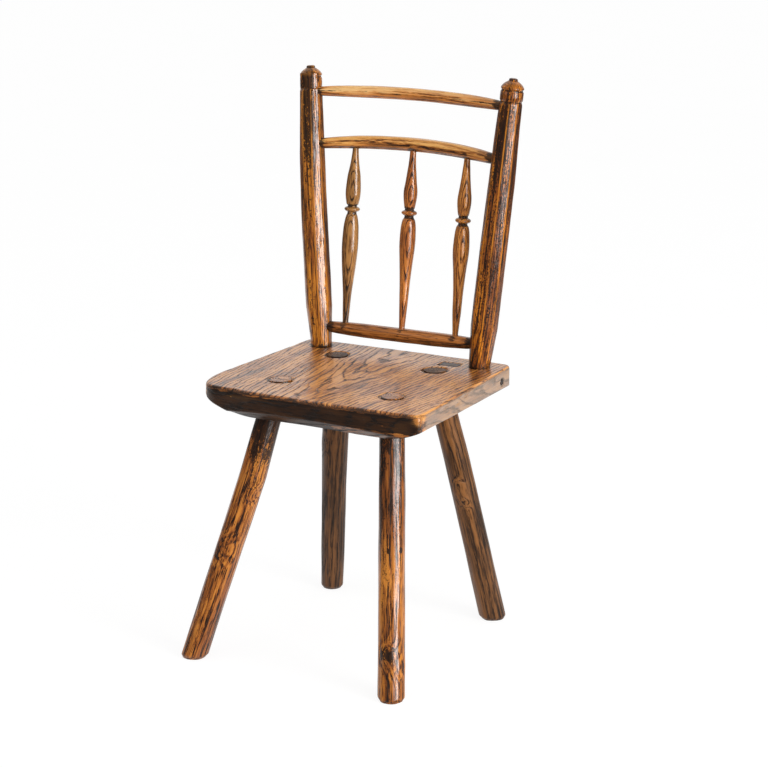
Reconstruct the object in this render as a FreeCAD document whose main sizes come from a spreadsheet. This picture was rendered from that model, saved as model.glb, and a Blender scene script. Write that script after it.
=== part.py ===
import FreeCAD, Part
import math
import os

import Sketcher

# A staked side chair with a spindle back. The seat is a half-log plank. Its four round legs are
# tapered through tenons, each spread by a wedge. Two octagonal posts stand in the back of the seat,
# pinned from its sides, and carry three rails and three turned spindles.
# Row frame: front of the chair towards -Y, +X to the viewer's right, +Z up, floor at z = 0.

# Driving dimensions, in millimetres: name, value, what it is.
SIZES = [
    ("fit_clearance", 0.1, "radial room between a tenon and its mortise"),
    # Seat
    ("seat_height", 440.0, "floor to the top of the seat"),
    ("seat_thickness", 44.0, "plank thickness along the middle"),
    ("seat_front_left_x", -190.5, "front left corner before it is rounded"),
    ("seat_front_right_x", 199.8, "front right corner before it is rounded"),
    ("seat_widest_left_x", -203.6, "where the left edge turns inward again"),
    ("seat_widest_left_y", -38.0, "where the left edge turns inward again"),
    ("seat_back_left_x", -191.2, "back left corner before it is rounded"),
    ("seat_back_right_x", 185.6, "back right corner before it is rounded"),
    ("seat_front_y", -139.5, "front corners"),
    ("seat_back_left_y", 190.0, "back left corner"),
    ("seat_back_right_y", 197.0, "back right corner"),
    ("seat_front_radius", 2400.0, "bow of the front edge"),
    ("seat_right_radius", 6000.0, "bow of the right edge"),
    ("seat_back_radius", 4200.0, "bow of the back edge"),
    ("seat_front_left_corner", 28.0, "rounding of the front left corner"),
    ("seat_front_right_corner", 8.0, "rounding of the front right corner"),
    ("seat_back_corner", 10.0, "rounding of the back corners"),
    ("seat_rim", 4.0, "worn rounding of the top edge"),
    ("seat_left_rise", 32.0, "how far the underside sweeps up at the left side"),
    ("seat_left_sweep", 110.0, "width of the swept part of the underside, left"),
    ("seat_left_sweep_radius", 200.0, "roundness of the left sweep"),
    ("seat_right_rise", 17.0, "how far the underside sweeps up at the right side"),
    ("seat_right_sweep", 64.0, "width of the swept part of the underside, right"),
    ("seat_right_sweep_radius", 170.0, "roundness of the right sweep"),
    ("seat_front_bevel", 12.0, "height of the bevel under the front edge"),
    ("seat_front_bevel_depth", 9.0, "depth of the bevel under the front edge"),
    # Legs: foot centre on the floor, head centre on top of the seat, diameters up the leg
    ("leg_front_left_foot_x", -183.7, ""),
    ("leg_front_left_foot_y", -191.3, ""),
    ("leg_front_left_head_x", -95.3, ""),
    ("leg_front_left_head_y", -57.4, ""),
    ("leg_front_left_foot_diameter", 41.0, ""),
    ("leg_front_left_low_diameter", 42.0, ""),
    ("leg_front_left_high_diameter", 43.0, ""),
    ("leg_front_left_neck_diameter", 40.0, ""),
    ("leg_front_left_crook", 3.6, "sideways bend at the high station"),
    ("leg_front_right_foot_x", 179.6, ""),
    ("leg_front_right_foot_y", -193.5, ""),
    ("leg_front_right_head_x", 108.9, ""),
    ("leg_front_right_head_y", -60.8, ""),
    ("leg_front_right_foot_diameter", 42.0, ""),
    ("leg_front_right_low_diameter", 42.0, ""),
    ("leg_front_right_high_diameter", 41.0, ""),
    ("leg_front_right_neck_diameter", 40.0, ""),
    ("leg_front_right_crook", 0.5, "sideways bend at the high station"),
    ("leg_back_left_foot_x", -154.3, ""),
    ("leg_back_left_foot_y", 192.1, ""),
    ("leg_back_left_head_x", -95.5, ""),
    ("leg_back_left_head_y", 119.1, ""),
    ("leg_back_left_foot_diameter", 38.3, ""),
    ("leg_back_left_low_diameter", 40.0, ""),
    ("leg_back_left_high_diameter", 44.5, ""),
    ("leg_back_left_neck_diameter", 44.0, ""),
    ("leg_back_left_crook", -1.2, "sideways bend at the high station"),
    ("leg_back_right_foot_x", 157.9, ""),
    ("leg_back_right_foot_y", 193.8, ""),
    ("leg_back_right_head_x", 93.1, ""),
    ("leg_back_right_head_y", 107.9, ""),
    ("leg_back_right_foot_diameter", 42.5, ""),
    ("leg_back_right_low_diameter", 42.3, ""),
    ("leg_back_right_high_diameter", 41.0, ""),
    ("leg_back_right_neck_diameter", 39.5, ""),
    ("leg_back_right_crook", 2.0, "sideways bend at the high station"),
    ("leg_low_station", 130.0, "height of the low station above the floor"),
    ("leg_high_station", 285.0, "height of the high station above the floor"),
    ("leg_neck_drop", 8.0, "the taper starts this far under the seat"),
    ("leg_tenon_end_diameter", 36.0, "narrow end of the tapered tenon"),
    ("leg_low_crook_share", 0.4, "part of the sideways bend that is left at the low station"),
    # Wedges that spread the leg tenons
    ("wedge_width", 33.0, "across the tenon"),
    ("wedge_depth", 27.0, "driven in from the top of the seat"),
    ("wedge_head", 4.0, "thickness at the top of the seat"),
    ("wedge_tip", 1.4, "thickness at the lower end"),
    # Posts: centre at the top of the seat and at the button, widths across the flats
    ("post_left_base_x", -151.4, ""),
    ("post_left_base_y", 161.3, ""),
    ("post_left_top_x", -185.7, ""),
    ("post_left_top_y", 193.8, ""),
    ("post_left_rise", 462.8, "from the seat to the top of the button"),
    ("post_left_bow", 4.0, "outward bow at the middle of the post"),
    ("post_right_base_x", 145.3, ""),
    ("post_right_base_y", 161.9, ""),
    ("post_right_top_x", 186.0, ""),
    ("post_right_top_y", 193.8, ""),
    ("post_right_rise", 465.0, "from the seat to the top of the button"),
    ("post_right_bow", 0.5, "outward bow at the middle of the post"),
    ("post_base_width", 33.5, "across the flats at the seat"),
    ("post_swell_width", 42.5, "widest, across the flats"),
    ("post_neck_width", 40.8, "across the flats between the two upper rails"),
    ("post_shoulder_width", 35.4, "across the flats under the turned top"),
    ("post_swell_start", 66.0, "from the seat to where the post is full"),
    ("post_swell_end", 200.0, "from the seat to where it starts to thin"),
    ("post_neck_start", 305.0, "from the seat to the thinner stretch"),
    ("post_tenon_diameter", 31.0, "round tenon in the seat"),
    ("post_tenon_length", 31.0, "depth of the tenon in the seat"),
    # Turned top of a post, from the shaft upward
    ("top_diameter", 36.8, "band and dome"),
    ("top_groove_width", 2.6, "height of each turned groove"),
    ("top_groove_depth", 1.6, "depth of each turned groove"),
    ("top_band_height", 15.5, "plain band between the grooves"),
    ("top_dome_edge", 3.0, "straight edge under the dome"),
    ("top_dome_height", 10.5, "rise of the dome"),
    ("top_dome_radius", 24.0, "roundness of the dome"),
    ("top_button_diameter", 14.0, "button on the dome"),
    ("top_button_height", 4.0, "button on the dome"),
    ("top_button_face", 8.4, "flat face of the button"),
    # Rails: rise of the axis above the seat, sizes of the round stock, bends
    ("top_rail_rise", 422.0, "above the seat at the left post"),
    ("top_rail_tilt", -1.0, "right end above the left end"),
    ("top_rail_end_diameter", 15.0, "where it enters a post"),
    ("top_rail_middle_diameter", 19.5, ""),
    ("top_rail_bow", 15.0, "bend towards the back"),
    ("top_rail_arch", 4.0, "bend upward"),
    ("middle_rail_rise", 337.2, "above the seat at the left post"),
    ("middle_rail_tilt", -0.5, "right end above the left end"),
    ("middle_rail_end_diameter", 17.0, "where it enters a post"),
    ("middle_rail_middle_diameter", 21.4, ""),
    ("middle_rail_bow", 20.0, "bend towards the back"),
    ("middle_rail_arch", 7.0, "bend upward"),
    ("bottom_rail_rise", 33.2, "above the seat at the left post"),
    ("bottom_rail_tilt", 3.0, "right end above the left end"),
    ("bottom_rail_end_diameter", 18.0, "where it enters a post"),
    ("bottom_rail_middle_diameter", 22.4, ""),
    ("bottom_rail_bow", 0.0, "bend towards the back"),
    ("bottom_rail_arch", -0.6, "bend upward"),
    ("rail_tenon_length", 12.0, "beyond the middle of the post"),
    ("rail_shoulder_gap", 1.8, "from the post's face to the eight-sided part of the rail"),
    # Spindles: where their axes cross the rails, and the turned outline from the lower rail up
    ("spindle_left_foot_x", -106.9, ""),
    ("spindle_left_head_x", -102.1, ""),
    ("spindle_middle_foot_x", 0.1, ""),
    ("spindle_middle_head_x", 0.9, ""),
    ("spindle_right_foot_x", 98.9, ""),
    ("spindle_right_head_x", 104.7, ""),
    ("spindle_tenon_diameter", 9.6, "both ends, in the rails"),
    ("spindle_shank", 58.0, "from the lower rail's axis to the top of the thin shank"),
    ("spindle_shank_diameter", 14.4, ""),
    ("spindle_lower_belly_start", 122.0, "from the lower rail's axis"),
    ("spindle_lower_belly_start_diameter", 24.2, ""),
    ("spindle_lower_belly_end", 172.0, "from the lower rail's axis"),
    ("spindle_lower_belly_end_diameter", 25.2, ""),
    ("spindle_lower_belly_radius", 210.0, "roundness of the lower belly, lengthwise"),
    ("spindle_lower_shoulder_radius", 32.0, "roundness between belly and waist"),
    ("spindle_left_bead", 199.5, "from the lower rail's axis to the bead"),
    ("spindle_middle_bead", 201.5, "from the lower rail's axis to the bead"),
    ("spindle_right_bead", 197.5, "from the lower rail's axis to the bead"),
    ("spindle_bead_face_diameter", 20.4, "flat shoulders of the bead"),
    ("spindle_bead_height", 7.6, ""),
    ("spindle_bead_radius", 4.2, "roundness of the bead's rim"),
    ("spindle_waist_diameter", 15.0, "on both sides of the bead"),
    ("spindle_waist", 7.0, "from the bead to the waist"),
    ("spindle_upper_shoulder_radius", 20.0, "roundness between waist and belly"),
    ("spindle_upper_belly_start", 15.0, "from the bead"),
    ("spindle_upper_belly_start_diameter", 20.8, ""),
    ("spindle_upper_belly_end", 51.0, "from the bead"),
    ("spindle_upper_belly_end_diameter", 21.4, ""),
    ("spindle_upper_belly_radius", 105.0, "roundness of the upper belly, lengthwise"),
    ("spindle_throat", 31.0, "from the upper rail's axis down to the throat"),
    ("spindle_throat_diameter", 13.6, ""),
    # Pegs through the sides of the seat into the post tenons
    ("peg_diameter", 11.5, ""),
    ("peg_drop", 20.0, "under the top of the seat"),
    ("peg_recess", 1.0, "how far the peg's head lies inside the seat's side"),
    ("peg_reach", 18.0, "beyond the axis of the post's tenon"),
    # Piece let into the top of the seat
    ("patch_x", 97.3, "centre of the patch"),
    ("patch_y", 152.0, "centre of the patch"),
    ("patch_length", 33.0, "along X"),
    ("patch_width", 21.0, "along Y"),
    ("patch_depth", 9.0, ""),
    ("patch_angle", 4.0, "turn of the patch, degrees"),
]

SIDES = ("left", "right")
LEGS = ("front_left", "front_right", "back_left", "back_right")
RAILS = ("top", "middle", "bottom")
SPINDLES = ("left", "middle", "right")

OVERRUN = 12.0          # how far a solid runs past the plane that trims it
LAP = 3.0               # how far two features of one piece run into each other
RAIL_STRETCHES = 10     # straight stretches that follow the bend of a rail
NEAR_CORNER = 1.0       # how near a corner the middle of its upright edge lies
SAME_LEVEL = 0.01       # how near the top face an edge of that face lies

UP = FreeCAD.Vector(0, 0, 1)
RIGHT = FreeCAD.Vector(1, 0, 0)
BACK = FreeCAD.Vector(0, 1, 0)

doc = FreeCAD.newDocument("SpindleBackChair")
sheet = doc.addObject("Spreadsheet::Sheet", "Sizes")
for row, (alias, value, meaning) in enumerate(SIZES, start=1):
    sheet.set(f"A{row}", alias)
    sheet.set(f"B{row}", str(value))
    sheet.set(f"C{row}", meaning)
    sheet.setAlias(f"B{row}", alias)
doc.recompute()

bodies = {}


def size(alias):
    return float(sheet.get(alias))


def worked_out(expression):
    return float(sheet.evalExpression(expression))


def cut_span():
    """Side of a block that trims a piece flat, and length of a cut that runs right through it."""
    return size("seat_height") + size("seat_back_left_y") - size("seat_front_y")


# Frames and places

def leaning(base, tip):
    """A placement at base whose Z axis points to tip."""
    return FreeCAD.Placement(base, FreeCAD.Rotation(UP, tip - base))


def along(distance, x=0.0, y=0.0):
    """A step along the Z axis of a piece, with an optional sideways offset."""
    return FreeCAD.Placement(FreeCAD.Vector(x, y, distance), FreeCAD.Rotation())


def within(body, row_place):
    """A placement of the row frame, seen from a body's own frame."""
    return body.Placement.inverse() * row_place


def leg_ends(leg):
    foot = FreeCAD.Vector(size(f"leg_{leg}_foot_x"), size(f"leg_{leg}_foot_y"), 0)
    head = FreeCAD.Vector(size(f"leg_{leg}_head_x"), size(f"leg_{leg}_head_y"), size("seat_height"))
    return foot, head


def post_ends(side):
    post = f"post_{side}"
    base = FreeCAD.Vector(size(f"{post}_base_x"), size(f"{post}_base_y"), size("seat_height"))
    tip = FreeCAD.Vector(size(f"{post}_top_x"), size(f"{post}_top_y"),
                         size("seat_height") + size(f"{post}_rise"))
    return base, tip


def post_share(side, height):
    """How far up its post a height in the row frame lies, from 0 to 1."""
    base, tip = post_ends(side)
    return (height - base.z) / (tip.z - base.z)


def post_bow(side, share):
    """Outward offset of the bowed post from its straight axis."""
    outward = -1 if side == "left" else 1
    return outward * size(f"post_{side}_bow") * math.sin(math.pi * share)


def post_axis_point(side, height):
    base, tip = post_ends(side)
    share = post_share(side, height)
    return base + (tip - base) * share + RIGHT * post_bow(side, share)


def shaft_length(side):
    """From the seat to the lower groove of the turned top."""
    base, tip = post_ends(side)
    return (tip - base).Length - worked_out(
        "Sizes.top_groove_width * 2 + Sizes.top_band_height + Sizes.top_dome_edge"
        " + Sizes.top_dome_height + Sizes.top_button_height")


def post_width(side, height):
    """Width across the flats of a post at a height in the row frame."""
    base, tip = post_ends(side)
    distance = post_share(side, height) * (tip - base).Length
    stations = [
        (0.0, size("post_base_width")),
        (size("post_swell_start"), size("post_swell_width")),
        (size("post_swell_end"), size("post_swell_width")),
        (size("post_neck_start"), size("post_neck_width")),
        (shaft_length(side), size("post_shoulder_width")),
    ]
    for (low, low_width), (high, high_width) in zip(stations, stations[1:]):
        if distance <= high:
            return low_width + (high_width - low_width) * (distance - low) / (high - low)
    return stations[-1][1]


def rail_heights(rail):
    """Height of a rail's axis at the left and at the right post."""
    height = size("seat_height") + size(f"{rail}_rail_rise")
    return height, height + size(f"{rail}_rail_tilt")


def rail_span(rail):
    """The two points where a rail's axis meets the axes of the posts."""
    left_height, right_height = rail_heights(rail)
    return post_axis_point("left", left_height), post_axis_point("right", right_height)


def rail_shoulders(rail):
    """The stretch of a rail between the faces of the two posts, measured from the left axis."""
    start, end = rail_span(rail)
    left_height, right_height = rail_heights(rail)
    room = size("rail_shoulder_gap")
    first = post_width("left", left_height) / 2 + room
    last = (end - start).Length - post_width("right", right_height) / 2 - room
    return first, last


def rail_axis_point(rail, x):
    """Point of a rail's bent axis over a given x."""
    start, end = rail_span(rail)
    share = (x - start.x) / (end.x - start.x)
    first, last = rail_shoulders(rail)
    bend = bend_share((share * (end - start).Length - first) / (last - first))
    offset = BACK * size(f"{rail}_rail_bow") + UP * size(f"{rail}_rail_arch")
    return start + (end - start) * share + offset * bend


def bend_share(share):
    """Height of a shallow bend over its chord: 0 at the ends, 1 in the middle."""
    return 1 - (2 * share - 1) ** 2


def spindle_ends(spindle):
    foot = rail_axis_point("bottom", size(f"spindle_{spindle}_foot_x"))
    head = rail_axis_point("middle", size(f"spindle_{spindle}_head_x"))
    return foot, head


# Sketches and features

def new_body(label, place):
    body = doc.addObject("PartDesign::Body", label)
    body.Label = label
    body.Placement = place
    bodies[label] = body
    return body


def new_sketch(body, name, role, offset=None):
    plane = next(feature for feature in body.Origin.OriginFeatures if feature.Role == role)
    sketch = body.newObject("Sketcher::SketchObject", name)
    sketch.AttachmentSupport = [(plane, "")]
    sketch.MapMode = "FlatFace"
    sketch.AttachmentOffset = offset or FreeCAD.Placement()
    return sketch


def bind(sketch, constraint, name, expression):
    """Add a constraint and tie its value to the sheet."""
    index = sketch.addConstraint(constraint)
    sketch.renameConstraint(index, name)
    sketch.setExpression(f"Constraints.{name}", expression)


def round_section(body, name, diameter, offset):
    """A circle across the Z axis of a body. The diameter is an expression."""
    sketch = new_sketch(body, name, "XY_Plane", offset)
    across = worked_out(diameter)
    sketch.addGeometry(Part.Circle(FreeCAD.Vector(), UP, across / 2), False)
    sketch.addConstraint(Sketcher.Constraint("Coincident", 0, 3, -1, 1))
    bind(sketch, Sketcher.Constraint("Diameter", 0, across), "across", diameter)
    return sketch


def octagon_section(body, name, flats, offset):
    """A regular octagon across the Z axis of a body. The width across flats is an expression."""
    sketch = new_sketch(body, name, "XY_Plane", offset)
    diameter = f"({flats}) / cos(22.5 deg)"
    across = worked_out(diameter)
    corners = []
    for index in range(8):
        angle = math.radians(-112.5 + 45 * index)
        corners.append(FreeCAD.Vector(math.cos(angle), math.sin(angle), 0) * (across / 2))
    for index in range(8):
        sketch.addGeometry(Part.LineSegment(corners[index], corners[(index + 1) % 8]), False)
    sketch.addGeometry(Part.Circle(FreeCAD.Vector(), UP, across / 2), True)
    for index in range(8):
        sketch.addConstraint(Sketcher.Constraint("Coincident", index, 2, (index + 1) % 8, 1))
        sketch.addConstraint(Sketcher.Constraint("PointOnObject", index, 1, 8))
    for index in range(1, 8):
        sketch.addConstraint(Sketcher.Constraint("Equal", 0, index))
    sketch.addConstraint(Sketcher.Constraint("Horizontal", 0))
    sketch.addConstraint(Sketcher.Constraint("Coincident", 8, 3, -1, 1))
    bind(sketch, Sketcher.Constraint("Diameter", 8, across), "across", diameter)
    return sketch


def arc_between(first, last, radius):
    """Arc from first to last. A positive radius bulges to the right of the way from first to last.

    Returns the arc and the sketcher's numbers for its first and last points."""
    chord = last - first
    middle = (first + last) * 0.5
    left = FreeCAD.Vector(-chord.y, chord.x, 0).normalize()
    rise = math.sqrt(max(radius ** 2 - (chord.Length / 2) ** 2, 0.0))
    centre = middle + left * math.copysign(rise, radius)
    angles = []
    for point in (first, last):
        angles.append(math.atan2(point.y - centre.y, point.x - centre.x))
    circle = Part.Circle(centre, UP, abs(radius))
    if radius > 0:
        return Part.ArcOfCircle(circle, angles[0], angles[1]), (1, 2)
    return Part.ArcOfCircle(circle, angles[1], angles[0]), (2, 1)


def outline_sketch(body, name, role, corners, offset=None):
    """A closed outline through corners given as pairs of expressions.

    A third entry is the radius of an arc from that corner to the next one, also an expression,
    with a fourth entry of -1 where the arc bulges to the left."""
    sketch = new_sketch(body, name, role, offset)
    points = [FreeCAD.Vector(worked_out(c[0]), worked_out(c[1]), 0) for c in corners]
    ends = []
    for index, corner in enumerate(corners):
        first = points[index]
        last = points[(index + 1) % len(points)]
        if len(corner) == 2:
            sketch.addGeometry(Part.LineSegment(first, last), False)
            ends.append((1, 2))
        else:
            side = corner[3] if len(corner) == 4 else 1
            arc, arc_ends = arc_between(first, last, side * worked_out(corner[2]))
            sketch.addGeometry(arc, False)
            ends.append(arc_ends)
    for index, corner in enumerate(corners):
        following = (index + 1) % len(corners)
        sketch.addConstraint(Sketcher.Constraint(
            "Coincident", index, ends[index][1], following, ends[following][0]))
        start = ends[index][0]
        bind(sketch, Sketcher.Constraint("DistanceX", -1, 1, index, start, points[index].x),
             f"x{index}", corner[0])
        bind(sketch, Sketcher.Constraint("DistanceY", -1, 1, index, start, points[index].y),
             f"y{index}", corner[1])
        if len(corner) > 2:
            bind(sketch, Sketcher.Constraint("Radius", index, worked_out(corner[2])),
                 f"radius{index}", corner[2])
    return sketch


def loft(body, name, sections):
    """Straight tapers from each section to the next, as a drawknife leaves them."""
    feature = body.newObject("PartDesign::AdditiveLoft", name)
    feature.Profile = sections[0]
    feature.Sections = sections[1:]
    feature.Ruled = True


def turn(body, name, profile):
    """Turn an outline about the Z axis of a body."""
    feature = body.newObject("PartDesign::Revolution", name)
    feature.Profile = profile
    feature.ReferenceAxis = (profile, ["V_Axis"])
    feature.Angle = 360


def cylinder(body, name, kind, diameter, length, place):
    """A cylinder added to or cut from a body. Diameter and length are expressions."""
    feature = body.newObject(f"PartDesign::{kind}Cylinder", name)
    feature.Placement = place
    feature.setExpression("Radius", f"({diameter}) / 2")
    feature.setExpression("Height", length)
    return feature


def cone(body, name, kind, diameters, length, place):
    """A cone added to or cut from a body, from its lower to its upper diameter."""
    feature = body.newObject(f"PartDesign::{kind}Cone", name)
    feature.Placement = place
    feature.setExpression("Radius1", f"({diameters[0]}) / 2")
    feature.setExpression("Radius2", f"({diameters[1]}) / 2")
    feature.Height = length
    return feature


def trim(body, name, height, upward):
    """Cut away all of a body above or below a height of the row frame."""
    block = body.newObject("PartDesign::SubtractiveBox", name)
    span = cut_span()
    block.Length = span
    block.Width = span
    block.Height = span
    lowest = height if upward else height - span
    middle = body.Placement.Base
    corner = FreeCAD.Vector(middle.x - span / 2, middle.y - span / 2, lowest)
    block.Placement = within(body, FreeCAD.Placement(corner, FreeCAD.Rotation()))
    return block


def pad(body, name, sketch, length, reversed_way=False, midplane=False):
    feature = body.newObject("PartDesign::Pad", name)
    feature.Profile = sketch
    feature.setExpression("Length", length)
    feature.Reversed = reversed_way
    feature.Midplane = midplane
    return feature


def pocket_through(body, name, sketch):
    """Cut a sketch right through the seat, as far one way as the other."""
    feature = body.newObject("PartDesign::Pocket", name)
    feature.Profile = sketch
    feature.Length = cut_span()
    feature.Midplane = True
    return feature


def round_edges(body, name, base, chosen, radius):
    """Round the edges of a finished feature that pass the test chosen."""
    doc.recompute()
    names = []
    for index, edge in enumerate(base.Shape.Edges, start=1):
        if chosen(edge):
            names.append(f"Edge{index}")
    feature = body.newObject("PartDesign::Fillet", name)
    feature.Base = (base, names)
    feature.setExpression("Radius", radius)
    return feature


# Legs

def leg_neck(leg):
    """Distance along the leg from the floor to where the tapered tenon starts."""
    foot, head = leg_ends(leg)
    height = size("seat_height") - size("seat_thickness") - size("leg_neck_drop")
    return (head - foot).Length * height / head.z


def leg_taper(leg):
    """Length of the tapered tenon with its overrun above the seat."""
    foot, head = leg_ends(leg)
    return (head - foot).Length - leg_neck(leg) + OVERRUN


def make_leg(leg):
    foot, head = leg_ends(leg)
    name = f"leg_{leg}"
    body = new_body(name, leaning(foot, head))
    stretch = (head - foot).Length / head.z
    stations = [
        ("foot", f"Sizes.{name}_foot_diameter", -OVERRUN, 0.0),
        ("ankle", f"Sizes.{name}_foot_diameter", OVERRUN, 0.0),
        ("low", f"Sizes.{name}_low_diameter", size("leg_low_station") * stretch,
         size("leg_low_crook_share")),
        ("high", f"Sizes.{name}_high_diameter", size("leg_high_station") * stretch, 1.0),
        ("neck", f"Sizes.{name}_neck_diameter", leg_neck(leg), 0.0),
    ]
    sections = []
    for station, diameter, distance, share in stations:
        offset = along(distance, share * size(f"{name}_crook"))
        sections.append(round_section(body, f"{name}_{station}_section", diameter, offset))
    loft(body, f"{name}_shaft", sections)
    diameters = (f"Sizes.{name}_neck_diameter", "Sizes.leg_tenon_end_diameter")
    cone(body, f"{name}_tenon", "Additive", diameters, leg_taper(leg), along(leg_neck(leg)))
    trim(body, f"{name}_floor_cut", 0.0, False)
    trim(body, f"{name}_seat_cut", size("seat_height"), True)
    kerf = wedge_sketch(body, f"{name}_kerf_outline", "Sizes.fit_clearance", head - foot)
    slot = body.newObject("PartDesign::Pocket", f"{name}_kerf")
    slot.Profile = kerf
    slot.Length = cut_span()
    slot.Midplane = True


def wedge_sketch(body, name, room, axis):
    """Outline of a wedge in the tenon's own YZ plane, from below the seat's top up past it."""
    head_half = f"(Sizes.wedge_head / 2 + {room})"
    tip_half = f"(Sizes.wedge_tip / 2 + {room})"
    corners = [
        (f"-{tip_half}", f"-Sizes.wedge_depth - {room}"),
        (tip_half, f"-Sizes.wedge_depth - {room}"),
        (head_half, "0"),
        (head_half, str(OVERRUN)),
        (f"-{head_half}", str(OVERRUN)),
        (f"-{head_half}", "0"),
    ]
    return outline_sketch(body, name, "YZ_Plane", corners, wedge_offset(axis.Length))


def wedge_offset(distance):
    """Moves a sketch on the YZ plane up the leg's axis, which is the sketch's own Y."""
    return FreeCAD.Placement(BACK * distance, FreeCAD.Rotation())


def make_wedge(leg):
    foot, head = leg_ends(leg)
    name = f"wedge_{leg}"
    body = new_body(name, leaning(foot, head))
    sketch = wedge_sketch(body, f"{name}_outline", "0", head - foot)
    pad(body, f"{name}_slip", sketch, "Sizes.wedge_width", midplane=True)
    trim(body, f"{name}_seat_cut", size("seat_height"), True)


# Posts

def make_post(side):
    base, tip = post_ends(side)
    name = f"post_{side}"
    body = new_body(name, leaning(base, tip))
    stations = [
        ("root", "Sizes.post_base_width", -OVERRUN),
        ("base", "Sizes.post_base_width", 0.0),
        ("swell_start", "Sizes.post_swell_width", size("post_swell_start")),
        ("swell_end", "Sizes.post_swell_width", size("post_swell_end")),
        ("neck", "Sizes.post_neck_width", size("post_neck_start")),
        ("shoulder", "Sizes.post_shoulder_width", shaft_length(side)),
    ]
    sections = []
    for station, flats, distance in stations:
        share = min(max(distance / (tip - base).Length, 0.0), 1.0)
        offset = along(distance, post_bow(side, share))
        sections.append(octagon_section(body, f"{name}_{station}_section", flats, offset))
    loft(body, f"{name}_shaft", sections)
    trim(body, f"{name}_seat_cut", size("seat_height") + size("fit_clearance"), False)
    tenon = along(-size("post_tenon_length"))
    cylinder(body, f"{name}_tenon", "Additive", "Sizes.post_tenon_diameter",
             f"Sizes.post_tenon_length + {LAP}", tenon)
    make_post_top(body, name, side)
    for rail in RAILS:
        bore = within(body, rail_place(rail))
        reach = size("rail_tenon_length") + size("fit_clearance")
        if side == "left":
            bore = bore * along(-reach)
        else:
            start, end = rail_span(rail)
            bore = bore * along((end - start).Length + reach - rail_bore_length())
        cylinder(body, f"{name}_{rail}_rail_mortise", "Subtractive",
                 f"Sizes.{rail}_rail_end_diameter + 2 * Sizes.fit_clearance",
                 str(rail_bore_length()), bore)
    cylinder(body, f"{name}_peg_bore", "Subtractive",
             "Sizes.peg_diameter + 2 * Sizes.fit_clearance",
             "Sizes.peg_reach + Sizes.post_tenon_diameter + 2 * Sizes.fit_clearance",
             within(body, peg_bore_place(side)))


def rail_bore_length():
    """A mortise runs from its bottom to well outside the widest post."""
    return size("rail_tenon_length") + size("post_swell_width")


def make_post_top(body, name, side):
    """Band, dome and button, turned round about the post's axis."""
    outer = "Sizes.top_diameter / 2"
    sunk = f"({outer} - Sizes.top_groove_depth)"
    dome_rim = "Sizes.top_button_diameter / 2"
    levels = ["0", "Sizes.top_groove_width"]
    levels.append(levels[-1] + " + Sizes.top_band_height")
    levels.append(levels[-1] + " + Sizes.top_groove_width")
    levels.append(levels[-1] + " + Sizes.top_dome_edge")
    levels.append(levels[-1] + " + Sizes.top_dome_height")
    levels.append(levels[-1] + " + Sizes.top_button_height")
    corners = [
        ("0", f"-{LAP}"),
        (sunk, f"-{LAP}"),
        (sunk, levels[1]),
        (outer, levels[1]),
        (outer, levels[2]),
        (sunk, levels[2]),
        (sunk, levels[3]),
        (outer, levels[3]),
        (outer, levels[4], "Sizes.top_dome_radius"),
        (dome_rim, levels[5]),
        (dome_rim, levels[5] + " + Sizes.top_button_height / 2"),
        ("Sizes.top_button_face / 2", levels[6]),
        ("0", levels[6]),
    ]
    profile = outline_sketch(body, f"{name}_top_outline", "XZ_Plane", corners,
                             FreeCAD.Placement(BACK * shaft_length(side), FreeCAD.Rotation()))
    turn(body, f"{name}_top", profile)


# Rails

def rail_place(rail):
    """Frame of a rail: Z along its chord from left to right, X backward, Y up."""
    start, end = rail_span(rail)
    return FreeCAD.Placement(start, FreeCAD.Rotation(BACK, UP, end - start, "ZXY"))


def make_rail(rail):
    name = f"{rail}_rail"
    body = new_body(name, rail_place(rail))
    start, end = rail_span(rail)
    first, last = rail_shoulders(rail)
    sections = []
    for index in range(RAIL_STRETCHES + 1):
        share = index / RAIL_STRETCHES
        backward = size(f"{name}_bow") * bend_share(share)
        upward = size(f"{name}_arch") * bend_share(share)
        offset = along(first + share * (last - first), backward, upward)
        slimming = (2 * share - 1) ** 4
        diameter = (f"Sizes.{name}_middle_diameter"
                    f" - (Sizes.{name}_middle_diameter - Sizes.{name}_end_diameter) * {slimming}")
        sections.append(octagon_section(body, f"{name}_section_{index}", diameter, offset))
    loft(body, f"{name}_shaft", sections)
    inner = size("rail_tenon_length")
    cylinder(body, f"{name}_left_tenon", "Additive", f"Sizes.{name}_end_diameter",
             f"Sizes.rail_tenon_length + {first}", along(-inner))
    cylinder(body, f"{name}_right_tenon", "Additive", f"Sizes.{name}_end_diameter",
             f"Sizes.rail_tenon_length + {(end - start).Length - last}", along(last))
    for spindle in SPINDLES:
        foot, head = spindle_ends(spindle)
        length = (head - foot).Length
        room = size("fit_clearance")
        bore_length = size(f"{name}_middle_diameter")
        if rail == "bottom":
            mouth = leaning(foot, head) * along(-room)
        elif rail == "middle":
            mouth = leaning(foot, head) * along(length + room - bore_length)
        else:
            continue
        cylinder(body, f"{name}_{spindle}_spindle_mortise", "Subtractive",
                 "Sizes.spindle_tenon_diameter + 2 * Sizes.fit_clearance",
                 str(bore_length), within(body, mouth))


# Spindles

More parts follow.
